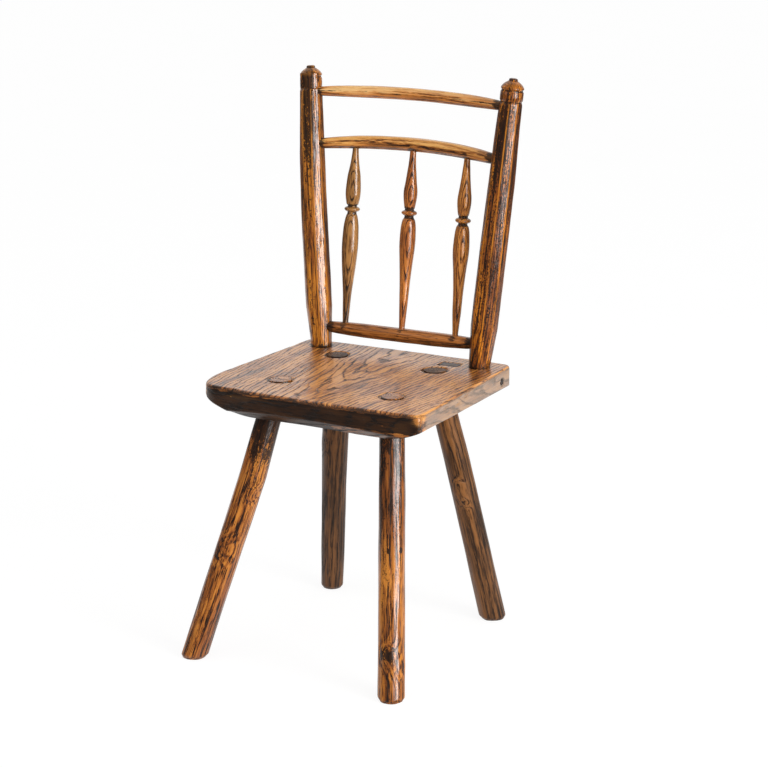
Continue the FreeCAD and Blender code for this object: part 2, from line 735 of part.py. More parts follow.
def make_spindle(spindle):
    foot, head = spindle_ends(spindle)
    name = f"spindle_{spindle}"
    body = new_body(name, leaning(foot, head))
    length = (head - foot).Length
    tenon = "Sizes.spindle_tenon_diameter / 2"
    waist = "Sizes.spindle_waist_diameter / 2"
    bead = f"Sizes.{name}_bead"
    bead_face = "Sizes.spindle_bead_face_diameter / 2"
    corners = [
        ("0", "0"),
        (tenon, "0"),
        (tenon, f"Sizes.bottom_rail_middle_diameter / 2 + {LAP}"),
        ("Sizes.spindle_shank_diameter / 2", "Sizes.spindle_shank"),
        ("Sizes.spindle_lower_belly_start_diameter / 2", "Sizes.spindle_lower_belly_start",
         "Sizes.spindle_lower_belly_radius"),
        ("Sizes.spindle_lower_belly_end_diameter / 2", "Sizes.spindle_lower_belly_end",
         "Sizes.spindle_lower_shoulder_radius"),
        (waist, f"{bead} - Sizes.spindle_waist"),
        (waist, f"{bead} - Sizes.spindle_bead_height / 2"),
        (bead_face, f"{bead} - Sizes.spindle_bead_height / 2", "Sizes.spindle_bead_radius"),
        (bead_face, f"{bead} + Sizes.spindle_bead_height / 2"),
        (waist, f"{bead} + Sizes.spindle_bead_height / 2"),
        (waist, f"{bead} + Sizes.spindle_waist", "Sizes.spindle_upper_shoulder_radius"),
        ("Sizes.spindle_upper_belly_start_diameter / 2", f"{bead} + Sizes.spindle_upper_belly_start",
         "Sizes.spindle_upper_belly_radius"),
        ("Sizes.spindle_upper_belly_end_diameter / 2", f"{bead} + Sizes.spindle_upper_belly_end"),
        ("Sizes.spindle_throat_diameter / 2", f"{length} - Sizes.spindle_throat"),
        (tenon, f"{length} - Sizes.middle_rail_middle_diameter / 2 - {LAP}"),
        (tenon, str(length)),
        ("0", str(length)),
    ]
    profile = outline_sketch(body, f"{name}_outline", "XZ_Plane", corners)
    turn(body, f"{name}_turning", profile)


# Pegs

def seat_side(side):
    """X of the seat's side edge beside a post."""
    y = size(f"post_{side}_base_y")
    front = seat_corner("widest" if side == "left" else "front", side)
    back = seat_corner("back", side)
    share = (y - front.y) / (back.y - front.y)
    straight = front.x + (back.x - front.x) * share
    if side == "left":
        return straight
    radius = size("seat_right_radius")
    half = (back - front).Length / 2
    rise = math.sqrt(radius ** 2 - (half * (2 * share - 1)) ** 2)
    return straight + rise - math.sqrt(radius ** 2 - half ** 2)


def peg_axis(side):
    """Point on the post tenon's axis that the peg passes through."""
    return post_axis_point(side, size("seat_height") - size("peg_drop"))


def peg_place(side, inner_room=0.0):
    """At the peg's inner end, with Z pointing out of the seat's side."""
    outward = RIGHT * (-1 if side == "left" else 1)
    inner = peg_axis(side) - outward * (size("peg_reach") + inner_room)
    return leaning(inner, inner + outward)


def peg_bore_place(side):
    return peg_place(side, size("fit_clearance"))


def peg_length(side):
    """From the peg's inner end to its head, just inside the seat's side."""
    return abs(seat_side(side) - peg_place(side).Base.x) - size("peg_recess")


def make_peg(side):
    name = f"seat_peg_{side}"
    place = peg_place(side)
    body = new_body(name, place)
    cylinder(body, f"{name}_pin", "Additive", "Sizes.peg_diameter", str(peg_length(side)),
             along(0.0))


# Seat

def sweep_corners(side):
    """The corner that the hollowing of the underside takes off at one side of the seat."""
    outward = "-" if side == "left" else ""
    edge = f"{outward}{seat_reach(side) + LAP}"
    start = f"{edge} {'+' if side == 'left' else '-'} Sizes.seat_{side}_sweep"
    bottom = "-Sizes.seat_thickness"
    below = f"{bottom} - {OVERRUN}"
    rise = f"{bottom} + Sizes.seat_{side}_rise"
    radius = f"Sizes.seat_{side}_sweep_radius"
    bulge = -1 if side == "left" else 1
    return [
        (start, bottom, radius, bulge),
        (edge, rise),
        (f"{edge} {'-' if side == 'left' else '+'} {OVERRUN}", rise),
        (f"{edge} {'-' if side == 'left' else '+'} {OVERRUN}", below),
        (start, below),
    ]


def seat_reach(side):
    """How far the seat's edge reaches out on one side."""
    if side == "left":
        return abs(size("seat_widest_left_x"))
    return max(size("seat_front_right_x"), size("seat_back_right_x"))


def seat_corner(end, side):
    """A corner of the seat's outline, or its widest place, in the plane of the top."""
    y = "seat_front_y" if end == "front" else f"seat_{end}_{side}_y"
    return FreeCAD.Vector(size(f"seat_{end}_{side}_x"), size(y), 0)


def left_front_radius():
    """Radius of the front part of the left edge, which runs on smoothly from its back part."""
    widest = seat_corner("widest", "left")
    chord = seat_corner("front", "left") - widest
    turn_away = chord.getAngle(widest - seat_corner("back", "left"))
    return chord.Length / (2 * math.sin(turn_away))


def make_seat():
    place = FreeCAD.Placement(UP * size("seat_height"), FreeCAD.Rotation())
    body = new_body("seat", place)
    outline = outline_sketch(body, "seat_outline", "XY_Plane", [
        ("Sizes.seat_front_left_x", "Sizes.seat_front_y", "Sizes.seat_front_radius"),
        ("Sizes.seat_front_right_x", "Sizes.seat_front_y", "Sizes.seat_right_radius"),
        ("Sizes.seat_back_right_x", "Sizes.seat_back_right_y", "Sizes.seat_back_radius"),
        ("Sizes.seat_back_left_x", "Sizes.seat_back_left_y"),
        ("Sizes.seat_widest_left_x", "Sizes.seat_widest_left_y", str(left_front_radius())),
    ])
    plank = pad(body, "seat_plank", outline, "Sizes.seat_thickness", reversed_way=True)
    corner_sizes = {
        "front_left": "seat_front_left_corner",
        "front_right": "seat_front_right_corner",
        "back_left": "seat_back_corner",
        "back_right": "seat_back_corner",
    }
    finished = plank
    for corner, corner_size in corner_sizes.items():
        end, side = corner.split("_")
        at = seat_corner(end, side)

        def upright_here(edge, at=at):
            ends = edge.Vertexes
            middle = edge.CenterOfMass
            upright = len(ends) == 2 and abs(ends[0].Z - ends[1].Z) > SAME_LEVEL
            return upright and math.hypot(middle.x - at.x, middle.y - at.y) < NEAR_CORNER

        finished = round_edges(body, f"seat_{corner}_rounding", finished, upright_here,
                               f"Sizes.{corner_size}")

    def top_rim(edge):
        return all(abs(vertex.Z) < SAME_LEVEL for vertex in edge.Vertexes)

    round_edges(body, "seat_rim_rounding", finished, top_rim, "Sizes.seat_rim")
    for side in SIDES:
        sketch = outline_sketch(body, f"seat_{side}_sweep", "XZ_Plane", sweep_corners(side))
        pocket_through(body, f"seat_{side}_hollowing", sketch)
    front = "Sizes.seat_front_y"
    bow = str(front_bow())
    bevel = outline_sketch(body, "seat_bevel_outline", "YZ_Plane", [
        (f"{front} - {bow} + Sizes.seat_front_bevel_depth", f"-Sizes.seat_thickness - {OVERRUN}"),
        (f"{front} - {bow} + Sizes.seat_front_bevel_depth", "-Sizes.seat_thickness"),
        (f"{front} - {bow}", "-Sizes.seat_thickness + Sizes.seat_front_bevel"),
        (f"{front} - {bow} - {OVERRUN}", "-Sizes.seat_thickness + Sizes.seat_front_bevel"),
        (f"{front} - {bow} - {OVERRUN}", f"-Sizes.seat_thickness - {OVERRUN}"),
    ])
    pocket_through(body, "seat_front_bevel_cut", bevel)
    for leg in LEGS:
        cut_leg_mortise(body, leg)
    for side in SIDES:
        cut_post_mortise(body, side)
    cut_patch_recess(body)


def front_bow():
    """How far the front edge bows out beyond its corners."""
    half = (size("seat_front_right_x") - size("seat_front_left_x")) / 2
    radius = size("seat_front_radius")
    return radius - math.sqrt(radius ** 2 - half ** 2)


def cut_leg_mortise(body, leg):
    foot, head = leg_ends(leg)
    room = "2 * Sizes.fit_clearance"
    diameters = (f"Sizes.leg_{leg}_neck_diameter + {room}", f"Sizes.leg_tenon_end_diameter + {room}")
    place = within(body, leaning(foot, head) * along(leg_neck(leg)))
    cone(body, f"seat_{leg}_leg_mortise", "Subtractive", diameters, leg_taper(leg), place)


def cut_post_mortise(body, side):
    base, tip = post_ends(side)
    bottom = size("post_tenon_length") + size("fit_clearance")
    place = within(body, leaning(base, tip) * along(-bottom))
    cylinder(body, f"seat_{side}_post_mortise", "Subtractive",
             "Sizes.post_tenon_diameter + 2 * Sizes.fit_clearance",
             f"Sizes.post_tenon_length + {OVERRUN}", place)
    cylinder(body, f"seat_{side}_peg_bore", "Subtractive",
             "Sizes.peg_diameter + 2 * Sizes.fit_clearance", str(peg_length(side) + OVERRUN),
             within(body, peg_bore_place(side)))


def patch_place():
    """Centre of the patch on top of the seat, turned as the patch is."""
    centre = FreeCAD.Vector(size("patch_x"), size("patch_y"), size("seat_height"))
    return FreeCAD.Placement(centre, FreeCAD.Rotation(UP, size("patch_angle")))


def patch_corners(room):
    half_length = f"(Sizes.patch_length / 2 + {room})"
    half_width = f"(Sizes.patch_width / 2 + {room})"
    return [
        (f"-{half_length}", f"-{half_width}"),
        (half_length, f"-{half_width}"),
        (half_length, half_width),
        (f"-{half_length}", half_width),
    ]


def cut_patch_recess(body):
    place = within(body, patch_place())
    outline = outline_sketch(body, "patch_recess_outline", "XY_Plane",
                             patch_corners("Sizes.fit_clearance"), place)
    recess = body.newObject("PartDesign::Pocket", "seat_patch_recess")
    recess.Profile = outline
    recess.setExpression("Length", "Sizes.patch_depth + Sizes.fit_clearance")


def make_patch():
    body = new_body("seat_patch", patch_place())
    outline = outline_sketch(body, "patch_outline", "XY_Plane", patch_corners("0"))
    pad(body, "patch_block", outline, "Sizes.patch_depth", reversed_way=True)


# Assembly

def make_chair():
    make_seat()
    for leg in LEGS:
        make_leg(leg)
        make_wedge(leg)
    for side in SIDES:
        make_post(side)
        make_peg(side)
    for rail in RAILS:
        make_rail(rail)
    for spindle in SPINDLES:
        make_spindle(spindle)
    make_patch()
    doc.recompute()


def check_document():
    """Stop if any feature failed or any piece is not one sound solid."""
    for item in doc.Objects:
        if "Invalid" in item.State or "Error" in item.State:
            raise RuntimeError(f"{item.Name} failed: {item.State}")
    for label, body in bodies.items():
        shape = body.Shape
        if shape.isNull() or not shape.isValid():
            raise RuntimeError(f"{label} has no sound shape")
        if len(shape.Solids) != 1:
            raise RuntimeError(f"{label} has {len(shape.Solids)} solids")


def write_parts():
    os.makedirs("parts", exist_ok=True)
    for label, body in bodies.items():
        body.Shape.exportStep(os.path.join("parts", f"{label}.step"))
        print(f"{label}: {body.Shape.Volume / 1000:.1f} cm3")


make_chair()
check_document()
write_parts()
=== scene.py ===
import math

import bpy
import numpy as np
from mathutils import Matrix, Vector, noise


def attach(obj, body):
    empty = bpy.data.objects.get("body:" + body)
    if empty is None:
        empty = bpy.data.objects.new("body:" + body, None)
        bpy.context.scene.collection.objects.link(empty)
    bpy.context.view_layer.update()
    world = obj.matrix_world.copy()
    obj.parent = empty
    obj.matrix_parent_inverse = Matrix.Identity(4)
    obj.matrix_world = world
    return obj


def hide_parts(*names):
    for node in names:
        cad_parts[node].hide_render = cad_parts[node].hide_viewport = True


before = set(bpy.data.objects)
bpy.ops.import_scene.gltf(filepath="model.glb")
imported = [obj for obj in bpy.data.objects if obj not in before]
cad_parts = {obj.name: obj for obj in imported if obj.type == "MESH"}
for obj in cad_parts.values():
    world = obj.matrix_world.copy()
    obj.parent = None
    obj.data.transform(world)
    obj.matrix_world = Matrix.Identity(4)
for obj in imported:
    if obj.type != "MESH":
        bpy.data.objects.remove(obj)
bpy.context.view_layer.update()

# A staked side chair with a spindle back, in metres: front towards -Y, +X to the right, floor at 0.
# A mark on the wood is ("step", amount, start, full), which comes in softly from start to full, or
# ("band", amount, middle, width). Tones are the light, middle and dark of a wood, 0 to 255.

UP = Vector((0, 0, 1))
BACK = Vector((0, 1, 0))

# Seat
SEAT_TOP = 0.440
SEAT_THICKNESS = 0.044
SEAT_CENTRE = np.array((0.0, 0.025))
SEAT_CORNERS = {
    "front_left": (-0.1905, -0.1395),
    "front_right": (0.1998, -0.1395),
    "back_right": (0.1856, 0.1970),
    "back_left": (-0.1912, 0.1900),
    "widest_left": (-0.2036, -0.0380),
}
SEAT_CORNER_RADII = {"front_left": 0.028, "front_right": 0.009, "back_right": 0.011, "back_left": 0.010}
FRONT_RADIUS = 2.4
RIGHT_RADIUS = 6.0
SEAT_EDGES = [
    ("front_left", "front_right", FRONT_RADIUS),
    ("front_right", "back_right", RIGHT_RADIUS),
    ("back_right", "back_left", 4.2),
    ("back_left", "widest_left", 50.0),
    ("widest_left", "front_left", 0.205),
]
SWEEPS = [
    {"rise": 0.032, "width": 0.113, "radius": 0.200, "edge": -0.2066},
    {"rise": 0.017, "width": 0.067, "radius": 0.170, "edge": 0.2028},
]
FRONT_BEVEL_HEIGHT = 0.012
FRONT_BEVEL_DEPTH = 0.009
FRONT_LINE = -0.1474

# Rounding of the seat's rim, and its rings: from the rim inward on top, down the wall and below
RIM_RADIUS = 0.0038
FRONT_RIM_MORE = 0.0022
CORNER_RIM_MORE = 0.0035
UNDER_EDGE_RADIUS = 0.0022
RIM_STEPS = [0.0, 0.0004, 0.0010, 0.0018, 0.0028, 0.0040, 0.0055, 0.0075, 0.0100]
SEAT_COLUMNS = 720
TOP_RINGS = 84
WALL_RINGS = 20
UNDER_RINGS = 30

# Legs: foot and head centres, diameters at the foot, low, high and neck stations, sideways bend
LEGS = {
    "front_left": {"foot": (-0.1837, -0.1913), "head": (-0.0953, -0.0574),
                   "diameters": (0.0410, 0.0420, 0.0430, 0.0400), "crook": 0.0036},
    "front_right": {"foot": (0.1796, -0.1935), "head": (0.1089, -0.0608),
                    "diameters": (0.0420, 0.0420, 0.0410, 0.0400), "crook": 0.0005},
    "back_left": {"foot": (-0.1543, 0.1921), "head": (-0.0955, 0.1191),
                  "diameters": (0.0383, 0.0400, 0.0445, 0.0440), "crook": -0.0012},
    "back_right": {"foot": (0.1579, 0.1938), "head": (0.0931, 0.1079),
                   "diameters": (0.0425, 0.0423, 0.0410, 0.0395), "crook": 0.0020},
}
LEG_ANKLE = 0.012
LEG_LOW = 0.130
LEG_HIGH = 0.285
LEG_NECK = SEAT_TOP - SEAT_THICKNESS - 0.008
LEG_END_DIAMETER = 0.036
LEG_SKIN_RADIUS = 0.021
LOW_CROOK_SHARE = 0.4
FOOT_EDGE_HEIGHT = 0.0055
FOOT_EDGE_WEAR = 0.0032

# Wedges in the leg tenons
WEDGE_WIDTH = 0.03069
WEDGE_DEPTH = 0.027
WEDGE_HEAD = 0.0040
WEDGE_TIP = 0.0014

# Posts: centres at the seat and at the button, outward bow, turn of the octagon in degrees, and the
# direction and half spread of the dark facet in degrees
POSTS = {
    "left": {"base": (-0.1514, 0.1613), "tip": (-0.1857, 0.1938, SEAT_TOP + 0.4628), "bow": -0.0040,
             "turn": 6.0, "dark_at": -76.0, "dark_spread": 30.0},
    "right": {"base": (0.1453, 0.1619), "tip": (0.1860, 0.1938, SEAT_TOP + 0.4650), "bow": 0.0005,
              "turn": -4.0, "dark_at": -86.0, "dark_spread": 25.0},
}
POST_BASE_WIDTH = 0.0335
POST_SWELL_WIDTH = 0.0425
POST_NECK_WIDTH = 0.0408
POST_SHOULDER_WIDTH = 0.0354
POST_SWELL_START = 0.066
POST_SWELL_END = 0.200
POST_NECK = 0.305
POST_TENON_DIAMETER = 0.031
POST_TENON_LENGTH = 0.031
TOP_DIAMETER = 0.0368
GROOVE_WIDTH = 0.0026
GROOVE_DEPTH = 0.0016
GROOVE_LIP = 0.0005
BAND_HEIGHT = 0.0155
DOME_EDGE = 0.003
DOME_HEIGHT = 0.0105
DOME_BULGE = 0.0016
BUTTON_DIAMETER = 0.014
BUTTON_HEIGHT = 0.004

# Rails: rise of the axis above the seat at both posts, diameters, bends backward and upward
RAILS = {
    "top": {"rise": (0.4220, 0.4210), "end": 0.0150, "middle": 0.0195, "bow": 0.015, "arch": 0.004},
    "middle": {"rise": (0.3372, 0.3367), "end": 0.0170, "middle": 0.0214, "bow": 0.020, "arch": 0.007},
    "bottom": {"rise": (0.0332, 0.0362), "end": 0.0180, "middle": 0.0224, "bow": 0.0, "arch": -0.0006},
}
RAIL_TENON = 0.012
RAIL_SHOULDER_GAP = 0.0018

# Spindles: where their axes cross the bottom and the middle rail, the height of the bead, and
# stations of the turning as offset from the bead and diameter
SPINDLES = {
    "left": {"foot": -0.1069, "head": -0.1021, "bead": 0.1995, "turning": [
        (-0.144, 0.0142), (-0.118, 0.0188), (-0.091, 0.0238), (-0.060, 0.0271), (-0.032, 0.0253),
        (-0.012, 0.0192), (0.008, 0.0196), (0.028, 0.0249), (0.054, 0.0216), (0.067, 0.0172),
        (0.081, 0.0130)]},
    "middle": {"foot": 0.0001, "head": 0.0009, "bead": 0.2015, "turning": [
        (-0.143, 0.0146), (-0.117, 0.0169), (-0.091, 0.0204), (-0.045, 0.0263), (-0.026, 0.0250),
        (-0.012, 0.0208), (0.008, 0.0172), (0.033, 0.0227), (0.052, 0.0183), (0.066, 0.0152),
        (0.080, 0.0121)]},
    "right": {"foot": 0.0989, "head": 0.1047, "bead": 0.1975, "turning": [
        (-0.150, 0.0143), (-0.124, 0.0160), (-0.085, 0.0209), (-0.047, 0.0268), (-0.022, 0.0242),
        (-0.010, 0.0200), (0.010, 0.0184), (0.031, 0.0229), (0.056, 0.0176), (0.070, 0.0145),
        (0.083, 0.0123)]},
}
SPINDLE_TENON = 0.0096
SPINDLE_WAIST = 0.0150
# The bead's outline, the same below and above its middle, as offset and radius
BEAD = [(0.0, 0.0129), (0.0016, 0.0124), (0.0030, 0.0109), (0.0037, 0.0093), (0.0042, SPINDLE_WAIST * 0.525)]
BEAD_ENDS = (-0.0062, 0.0058)

# Pegs and patch
PEG_DIAMETER = 0.0113
PEG_DROP = 0.020
PEG_REACH = 0.018
PATCH = {"centre": (0.0973, 0.1520), "length": 0.033, "width": 0.021, "depth": 0.009, "angle": 4.0}

# Unevenness of the worked wood: depth, swings round the piece and along it, change of seed
LEG_SHAVING = [(0.0009, (1.6, 1.6, 1.0), 0), (0.000405, (4.5, 4.5, 2.4), 2)]
TENON_SHAVING_SHARE = 4 / 9
POST_SHAVING = [(0.0006, (1.8, 1.8, 1.3), 0), (0.00025, (6, 6, 5), 3)]
POST_TOP_SHAVING = [(0.0002, (2.5, 2.5, 4), 4)]
RAIL_SHAVING = [(0.00045, (1.9, 1.9, 1.0), 0), (0.0002, (5, 5, 3), 1)]
SPINDLE_SHAVING = [(0.00012, (2, 2, 1), 0)]
PEG_SHAVING = [(0.0002, (1.5, 1.5, 1), 0)]

# Knots on the legs: height, angle in degrees from +X, size, how far they stand out, darkness
LEG_KNOTS = {
    "front_left": [(0.178, -80.0, 0.020, 0.0014, 0.10), (0.262, -20.0, 0.010, -0.0010, 0.0)],
    "front_right": [(0.071, -72.0, 0.0155, 0.0024, 1.05), (0.052, -20.0, 0.016, 0.0020, 0.25)],
    "back_left": [(0.277, -140.0, 0.014, 0.0006, 0.0)],
    "back_right": [(0.230, -84.0, 0.011, 0.0018, 0.10), (0.247, -78.0, 0.009, 0.0012, 0.60),
                   (0.216, -66.0, 0.008, 0.0010, 0.45)],
}
# Height and angle of the nail holes, and the flat that the drawknife left, both on the front right leg
NAIL_HOLES = [(0.2205, -74.0), (0.2205, -19.0)]
NAIL_HOLE_EDGE = (0.0040, 0.0026)
FLAT = {"angle": -40, "depth": 0.0013, "half_turn": 0.42, "from": 0.16, "to": 0.30}

# Dark and deeper toned places by height, first on every leg and then on each. A step that ends below
# the floor holds for the whole leg.
LEG_DARKENING = [("step", 0.42, LEG_NECK - 0.055, LEG_NECK + 0.005), ("step", 0.10, 0.05, 0.0)]
LEG_MARKS = {
    "front_left": {"soot": [("step", 0.55, 0.285, 0.335), ("step", 0.12, 0.10, 0.26)],
                   "deep": [("step", 0.10, -0.02, -0.01)]},
    "front_right": {"soot": [("step", 0.24, 0.18, 0.33), ("band", 0.10, 0.22, 0.05)],
                    "deep": [("step", 0.45, 0.14, 0.30)]},
    "back_left": {"soot": [], "deep": []},
    "back_right": {"soot": [], "deep": []},
}

# Posts: heights from where to where the dark facet comes in, how far above the lowest groove the shaft's
# dirt is gone and still full, dirty places by height, and how deep the painted shade towards +X is
POST_MARKS = {
    "left": {"dark_facet": (0.24, 0.36), "dirt_end": (0.042, 0.026), "right_side_shade": 0.40,
             "blotches": [("step", 0.16, 0.16, 0.24), ("band", 0.10, 0.32, 0.05)]},
    "right": {"dark_facet": (0.27, 0.38), "dirt_end": (0.004, -0.004), "right_side_shade": 0.14,
              "blotches": [("step", 0.30, 0.02, 0.10), ("band", 0.26, 0.27, 0.06)]},
}
# The left post's lower grooves are worn away except near this direction and this far up the turned top
GROOVES_KEPT_AT = 20
GROOVES_WORN_UP_TO = 0.026

# Rails: dirt all over and on the front arris, depth of the painted shade below and of the deeper right
# ends, and which end of the spindles meets the rail, with the height of its dirt above the rail's axis
RAIL_MARKS = {
    "top": {"soot": 0.0, "arris": 0.44, "shade_and_tone": 0.36, "spindle_end": None, "spindle_side": 0.0},
    "middle": {"soot": 0.08, "arris": 0.26, "shade_and_tone": 0.32, "spindle_end": "head", "spindle_side": -0.008},
    "bottom": {"soot": 0.14, "arris": 0.26, "shade_and_tone": 0.32, "spindle_end": "foot", "spindle_side": 0.008},
}
RAIL_WAVE = 23

# Gouges and knots on the seat: place, size and depth
SEAT_SCARS = [
    ((0.196, -0.052, 0.432), 0.006, 0.0016),
    ((0.193, 0.018, 0.434), 0.007, 0.0014),
    ((0.194, -0.010, 0.428), 0.004, 0.0010),
    ((-0.130, -0.146, 0.438), 0.008, 0.0018),
    ((-0.020, -0.152, 0.438), 0.007, 0.0014),
    ((0.030, -0.153, 0.437), 0.005, 0.0012),
    ((-0.165, -0.140, 0.436), 0.006, 0.0014),
]
SCAR_STRETCH = (1.0, 1.4, 0.7)
ROUNDED_CORNER = (0.197, -0.136)
WORN_CORNER = (0.200, -0.136)

# Zones of the seat, each from where it starts to where it has come. Depths below the top:
DEPTH_ZONES = {
    "top": (0.0045, 0.0010),
    "dark_front": (0.0045, 0.0085),
    "bevel": (SEAT_THICKNESS - FRONT_BEVEL_HEIGHT - 0.002, SEAT_THICKNESS - FRONT_BEVEL_HEIGHT + 0.001),
    "low": (0.030, 0.040),
    "lowest": (0.036, 0.042),
    "corner_shade": (0.010, 0.018),
    "worn_corner": (0.020, 0.011),
    "under_rim": (0.0003, 0.0014),
    "past_rim": (0.0030, 0.0060),
    "front_strip": (0.012, 0.008),
    "front_grain": (0.0040, 0.0052),
    "side_grain": (0.0030, 0.0045),
}
# From left to right:
X_ZONES = {
    "bevel_wear": (-0.04, 0.12),
    "front_end": (0.198, 0.191),
    "right_end": (0.176, 0.190),
    "right_side": (0.165, 0.180),
    "left_tone": (-0.02, -0.13),
    "left_darkening": (-0.02, -0.15),
}
# From front to back:
Y_ZONES = {
    "front_rim": (-0.110, -0.140),
    "front_face": (-0.128, -0.138),
    "corner": (-0.118, -0.130),
    "behind_front": (-0.110, -0.100),
    "right_side": (-0.128, -0.112),
    "front_tone": (-0.126, -0.134),
    "side_grain": (0.190, 0.186),
}
# How dark (dirt and painted shade), worn (wear and painted sheen) and deeply toned the zones are
SEAT_DIRT_AND_SHADE = {"front": 0.95, "low": 0.25, "sides": 0.06, "corner_shade": 0.26, "post": 0.6, "peg": 0.8,
             "scar": 0.5, "patch": 0.8}
LEFT_DARKENING = 0.10
SEAT_WEAR_AND_SHEEN = {"rim": 0.10, "corner": 0.6, "right_side": 0.10}
SEAT_DEEP = {"front": 0.30, "lowest": 0.10, "right_side": 0.16, "corner_shade": 0.40, "front_strip": 0.42,
             "left": 0.14}

# Woods: what differs from plain wood
LEG_WOOD = {"ring_gap": 0.0040, "pith": (0.006, 0.010), "wander": 0.006, "depth": 0.38, "ring_depth": 0.55,
            "bump": 0.8, "coat_bump": 0.16}
FRONT_LEG_WOOD = {"fibre_depth": 0.80, "streak_depth": 1.25, "flecks": 1.8, "specks": 2.2, "coat": 0.9}
# The back legs' wood is duller, as painted shade
SHADED_BACK_LEG_WOOD = {"fibre_depth": 0.50, "streak_depth": 0.9, "patchiness": 1.6, "flecks": 1.4, "specks": 1.0,
                 "coat": 0.15, "coat_gloss": 0.25}
LEG_LOOKS = {
    "front_left": {"tones": ((220, 140, 54), (158, 86, 28), (48, 26, 11)), "seed": 0.3, **FRONT_LEG_WOOD},
    "front_right": {"tones": ((210, 132, 48), (150, 82, 25), (50, 27, 11)), "seed": 1.7, **FRONT_LEG_WOOD},
    # The back legs' darker tones are painted shade
    "back_left": {"tones": ((120, 78, 42), (74, 47, 25), (38, 24, 13)), "seed": 3.1, **SHADED_BACK_LEG_WOOD},
    "back_right": {"tones": ((144, 94, 50), (84, 53, 27), (40, 25, 14)), "seed": 4.6, **SHADED_BACK_LEG_WOOD},
}
WEDGE_LOOKS = {"tones": ((132, 96, 62), (94, 66, 44), (50, 35, 25)), "ring_gap": 0.002, "gloss": 0.45,
               "coat": 0.3}
POST_WOOD = {"ring_gap": 0.0033, "pith": (0.030, 0.055), "wander": 0.0022, "ring_depth": 0.85,
             "ring_width": 0.5, "streak_depth": 1.3, "broad_depth": 1.6, "patchiness": 2.2, "flecks": 2.5}
POST_LOOKS = {
    "left": {"tones": ((218, 138, 42), (160, 88, 24), (50, 27, 11)), "seed": 2.0, "depth": 0.27,
             "specks": 3.0, "coat": 1.0, "coat_gloss": 0.05, "coat_bump": 0.10},
    "right": {"tones": ((232, 142, 34), (138, 72, 21), (50, 27, 11)), "seed": 9.0, "depth": 0.54,
              "specks": 5.0, "coat": 0.75, "coat_bump": 0.20},
}
RAIL_WOOD = {"ring_gap": 0.0048, "pith": (0.030, -0.010), "depth": 0.20, "ring_depth": 0.55,
             "ring_width": 0.45, "fibre_depth": 0.50, "streak_depth": 0.9, "broad_depth": 1.1,
             "patchiness": 1.4, "flecks": 1.4, "coat": 0.8, "coat_gloss": 0.10, "coat_bump": 0.12}
RAIL_LOOKS = {
    "top": {"tones": ((252, 200, 130), (220, 136, 58), (100, 52, 20)), "seed": 5.0},
    "middle": {"tones": ((248, 184, 100), (200, 122, 50), (70, 38, 14)), "seed": 6.3},
    "bottom": {"tones": ((192, 118, 52), (126, 72, 30), (52, 30, 16)), "seed": 7.9},
}
SPINDLE_WOOD = {"ring_gap": 0.0026, "taper": 0.006, "wander": 0.0012, "ring_depth": 0.90, "ring_width": 0.5,
                "fibre_depth": 0.32, "streak_depth": 0.8, "broad_depth": 1.4, "pores": 0.6,
                "patchiness": 1.3, "coat": 1.0, "coat_gloss": 0.04, "bump": 0.4, "coat_bump": 0.06}
SPINDLE_LOOKS = {
    "left": {"tones": ((182, 128, 68), (126, 83, 40), (40, 27, 14)), "pith": (0.014, -0.030), "seed": 11.0},
    "middle": {"tones": ((224, 142, 60), (172, 96, 38), (62, 34, 16)), "pith": (0.017, -0.026), "seed": 12.4},
    "right": {"tones": ((222, 146, 66), (158, 92, 38), (48, 28, 15)), "pith": (0.020, -0.024), "seed": 13.7},
}
PEG_LOOKS = {"tones": ((80, 52, 34), (50, 33, 23), (30, 20, 15)), "ring_gap": 0.0015, "pith": (0.001, 0.001),
             "coat": 0.5}
PEG_SEEDS = {"left": 3.3, "right": 8.8}
SEAT_LOOKS = {"tones": ((234, 160, 76), (178, 106, 44), (66, 39, 18)), "seed": 0.4, "ring_gap": 0.0072,
              "pith": (-0.010, -0.050), "taper": -0.11, "wander": 0.024, "ripple": 0.48, "depth": 0.26,
              "ring_depth": 1.10, "ring_width": 0.38, "fibre_depth": 0.55, "broad_depth": 2.2, "pores": 0.85,
              "patchiness": 1.2, "flecks": 1.3, "coat": 0.9, "coat_gloss": 0.18, "bump": 1.0,
              "coat_bump": 0.55, "darkened_streak_light": 0.06, "across": 0.8}
PATCH_LOOKS = {"tones": ((96, 66, 44), (68, 46, 31), (42, 29, 21)), "seed": 2.9, "ring_gap": 0.004,
               "pith": (0.03, -0.05), "coat": 0.3, "coat_gloss": 0.22, "across": 0.6}

# Black wax, dirt and painted shade, a grey painted sheen, and coat of all the wood
BLACK_BROWN = (30, 20, 14)
SHEEN_GREY = (150, 132, 116)
SPECULAR_LEVEL = 0.22
COAT_WEAR = 0.045
COAT_IOR = 1.65

# Noise in the wood: cells to a metre across and along the grain, detail, roughness
WOOD_NOISES = {
    "dashes": (600, 50, 3.0, 0.65),
    "fibre": (360, 20, 3.0, 0.65),
    "streak": (170, 8, 3.0, 0.6),
    "broad": (42, 7, 3.0, 0.55),
    "patch": (75, 20, 4.0, 0.62),
    "fleck": (330, 90, 4.0, 0.75),
    "speck": (430, 280, 3.0, 0.7),
}
SLOW_BEND = (9, 4.5)
QUICK_BEND = (55, 17)
# Steps in the noise where each feature of the wood starts and has come
RING_START = (0.0, 0.10)
RING_FADE = 0.14
RING_BREAKS = (0.34, 0.58)
FIBRE_LINES = (0.50, 0.62)
FIBRE_BREAKS = (0.30, 0.52)
PORE_MARKS = (0.55, 0.68)
DARKENED_EDGE = (0.38, 0.60)
DARKENED_STREAKS = (0.48, 0.66)
LIGHTENED_STREAKS = (0.58, 0.80)
TONE_STOPS = (0.0, 0.42, 0.92)
FIBRE_MIDDLE = 0.35
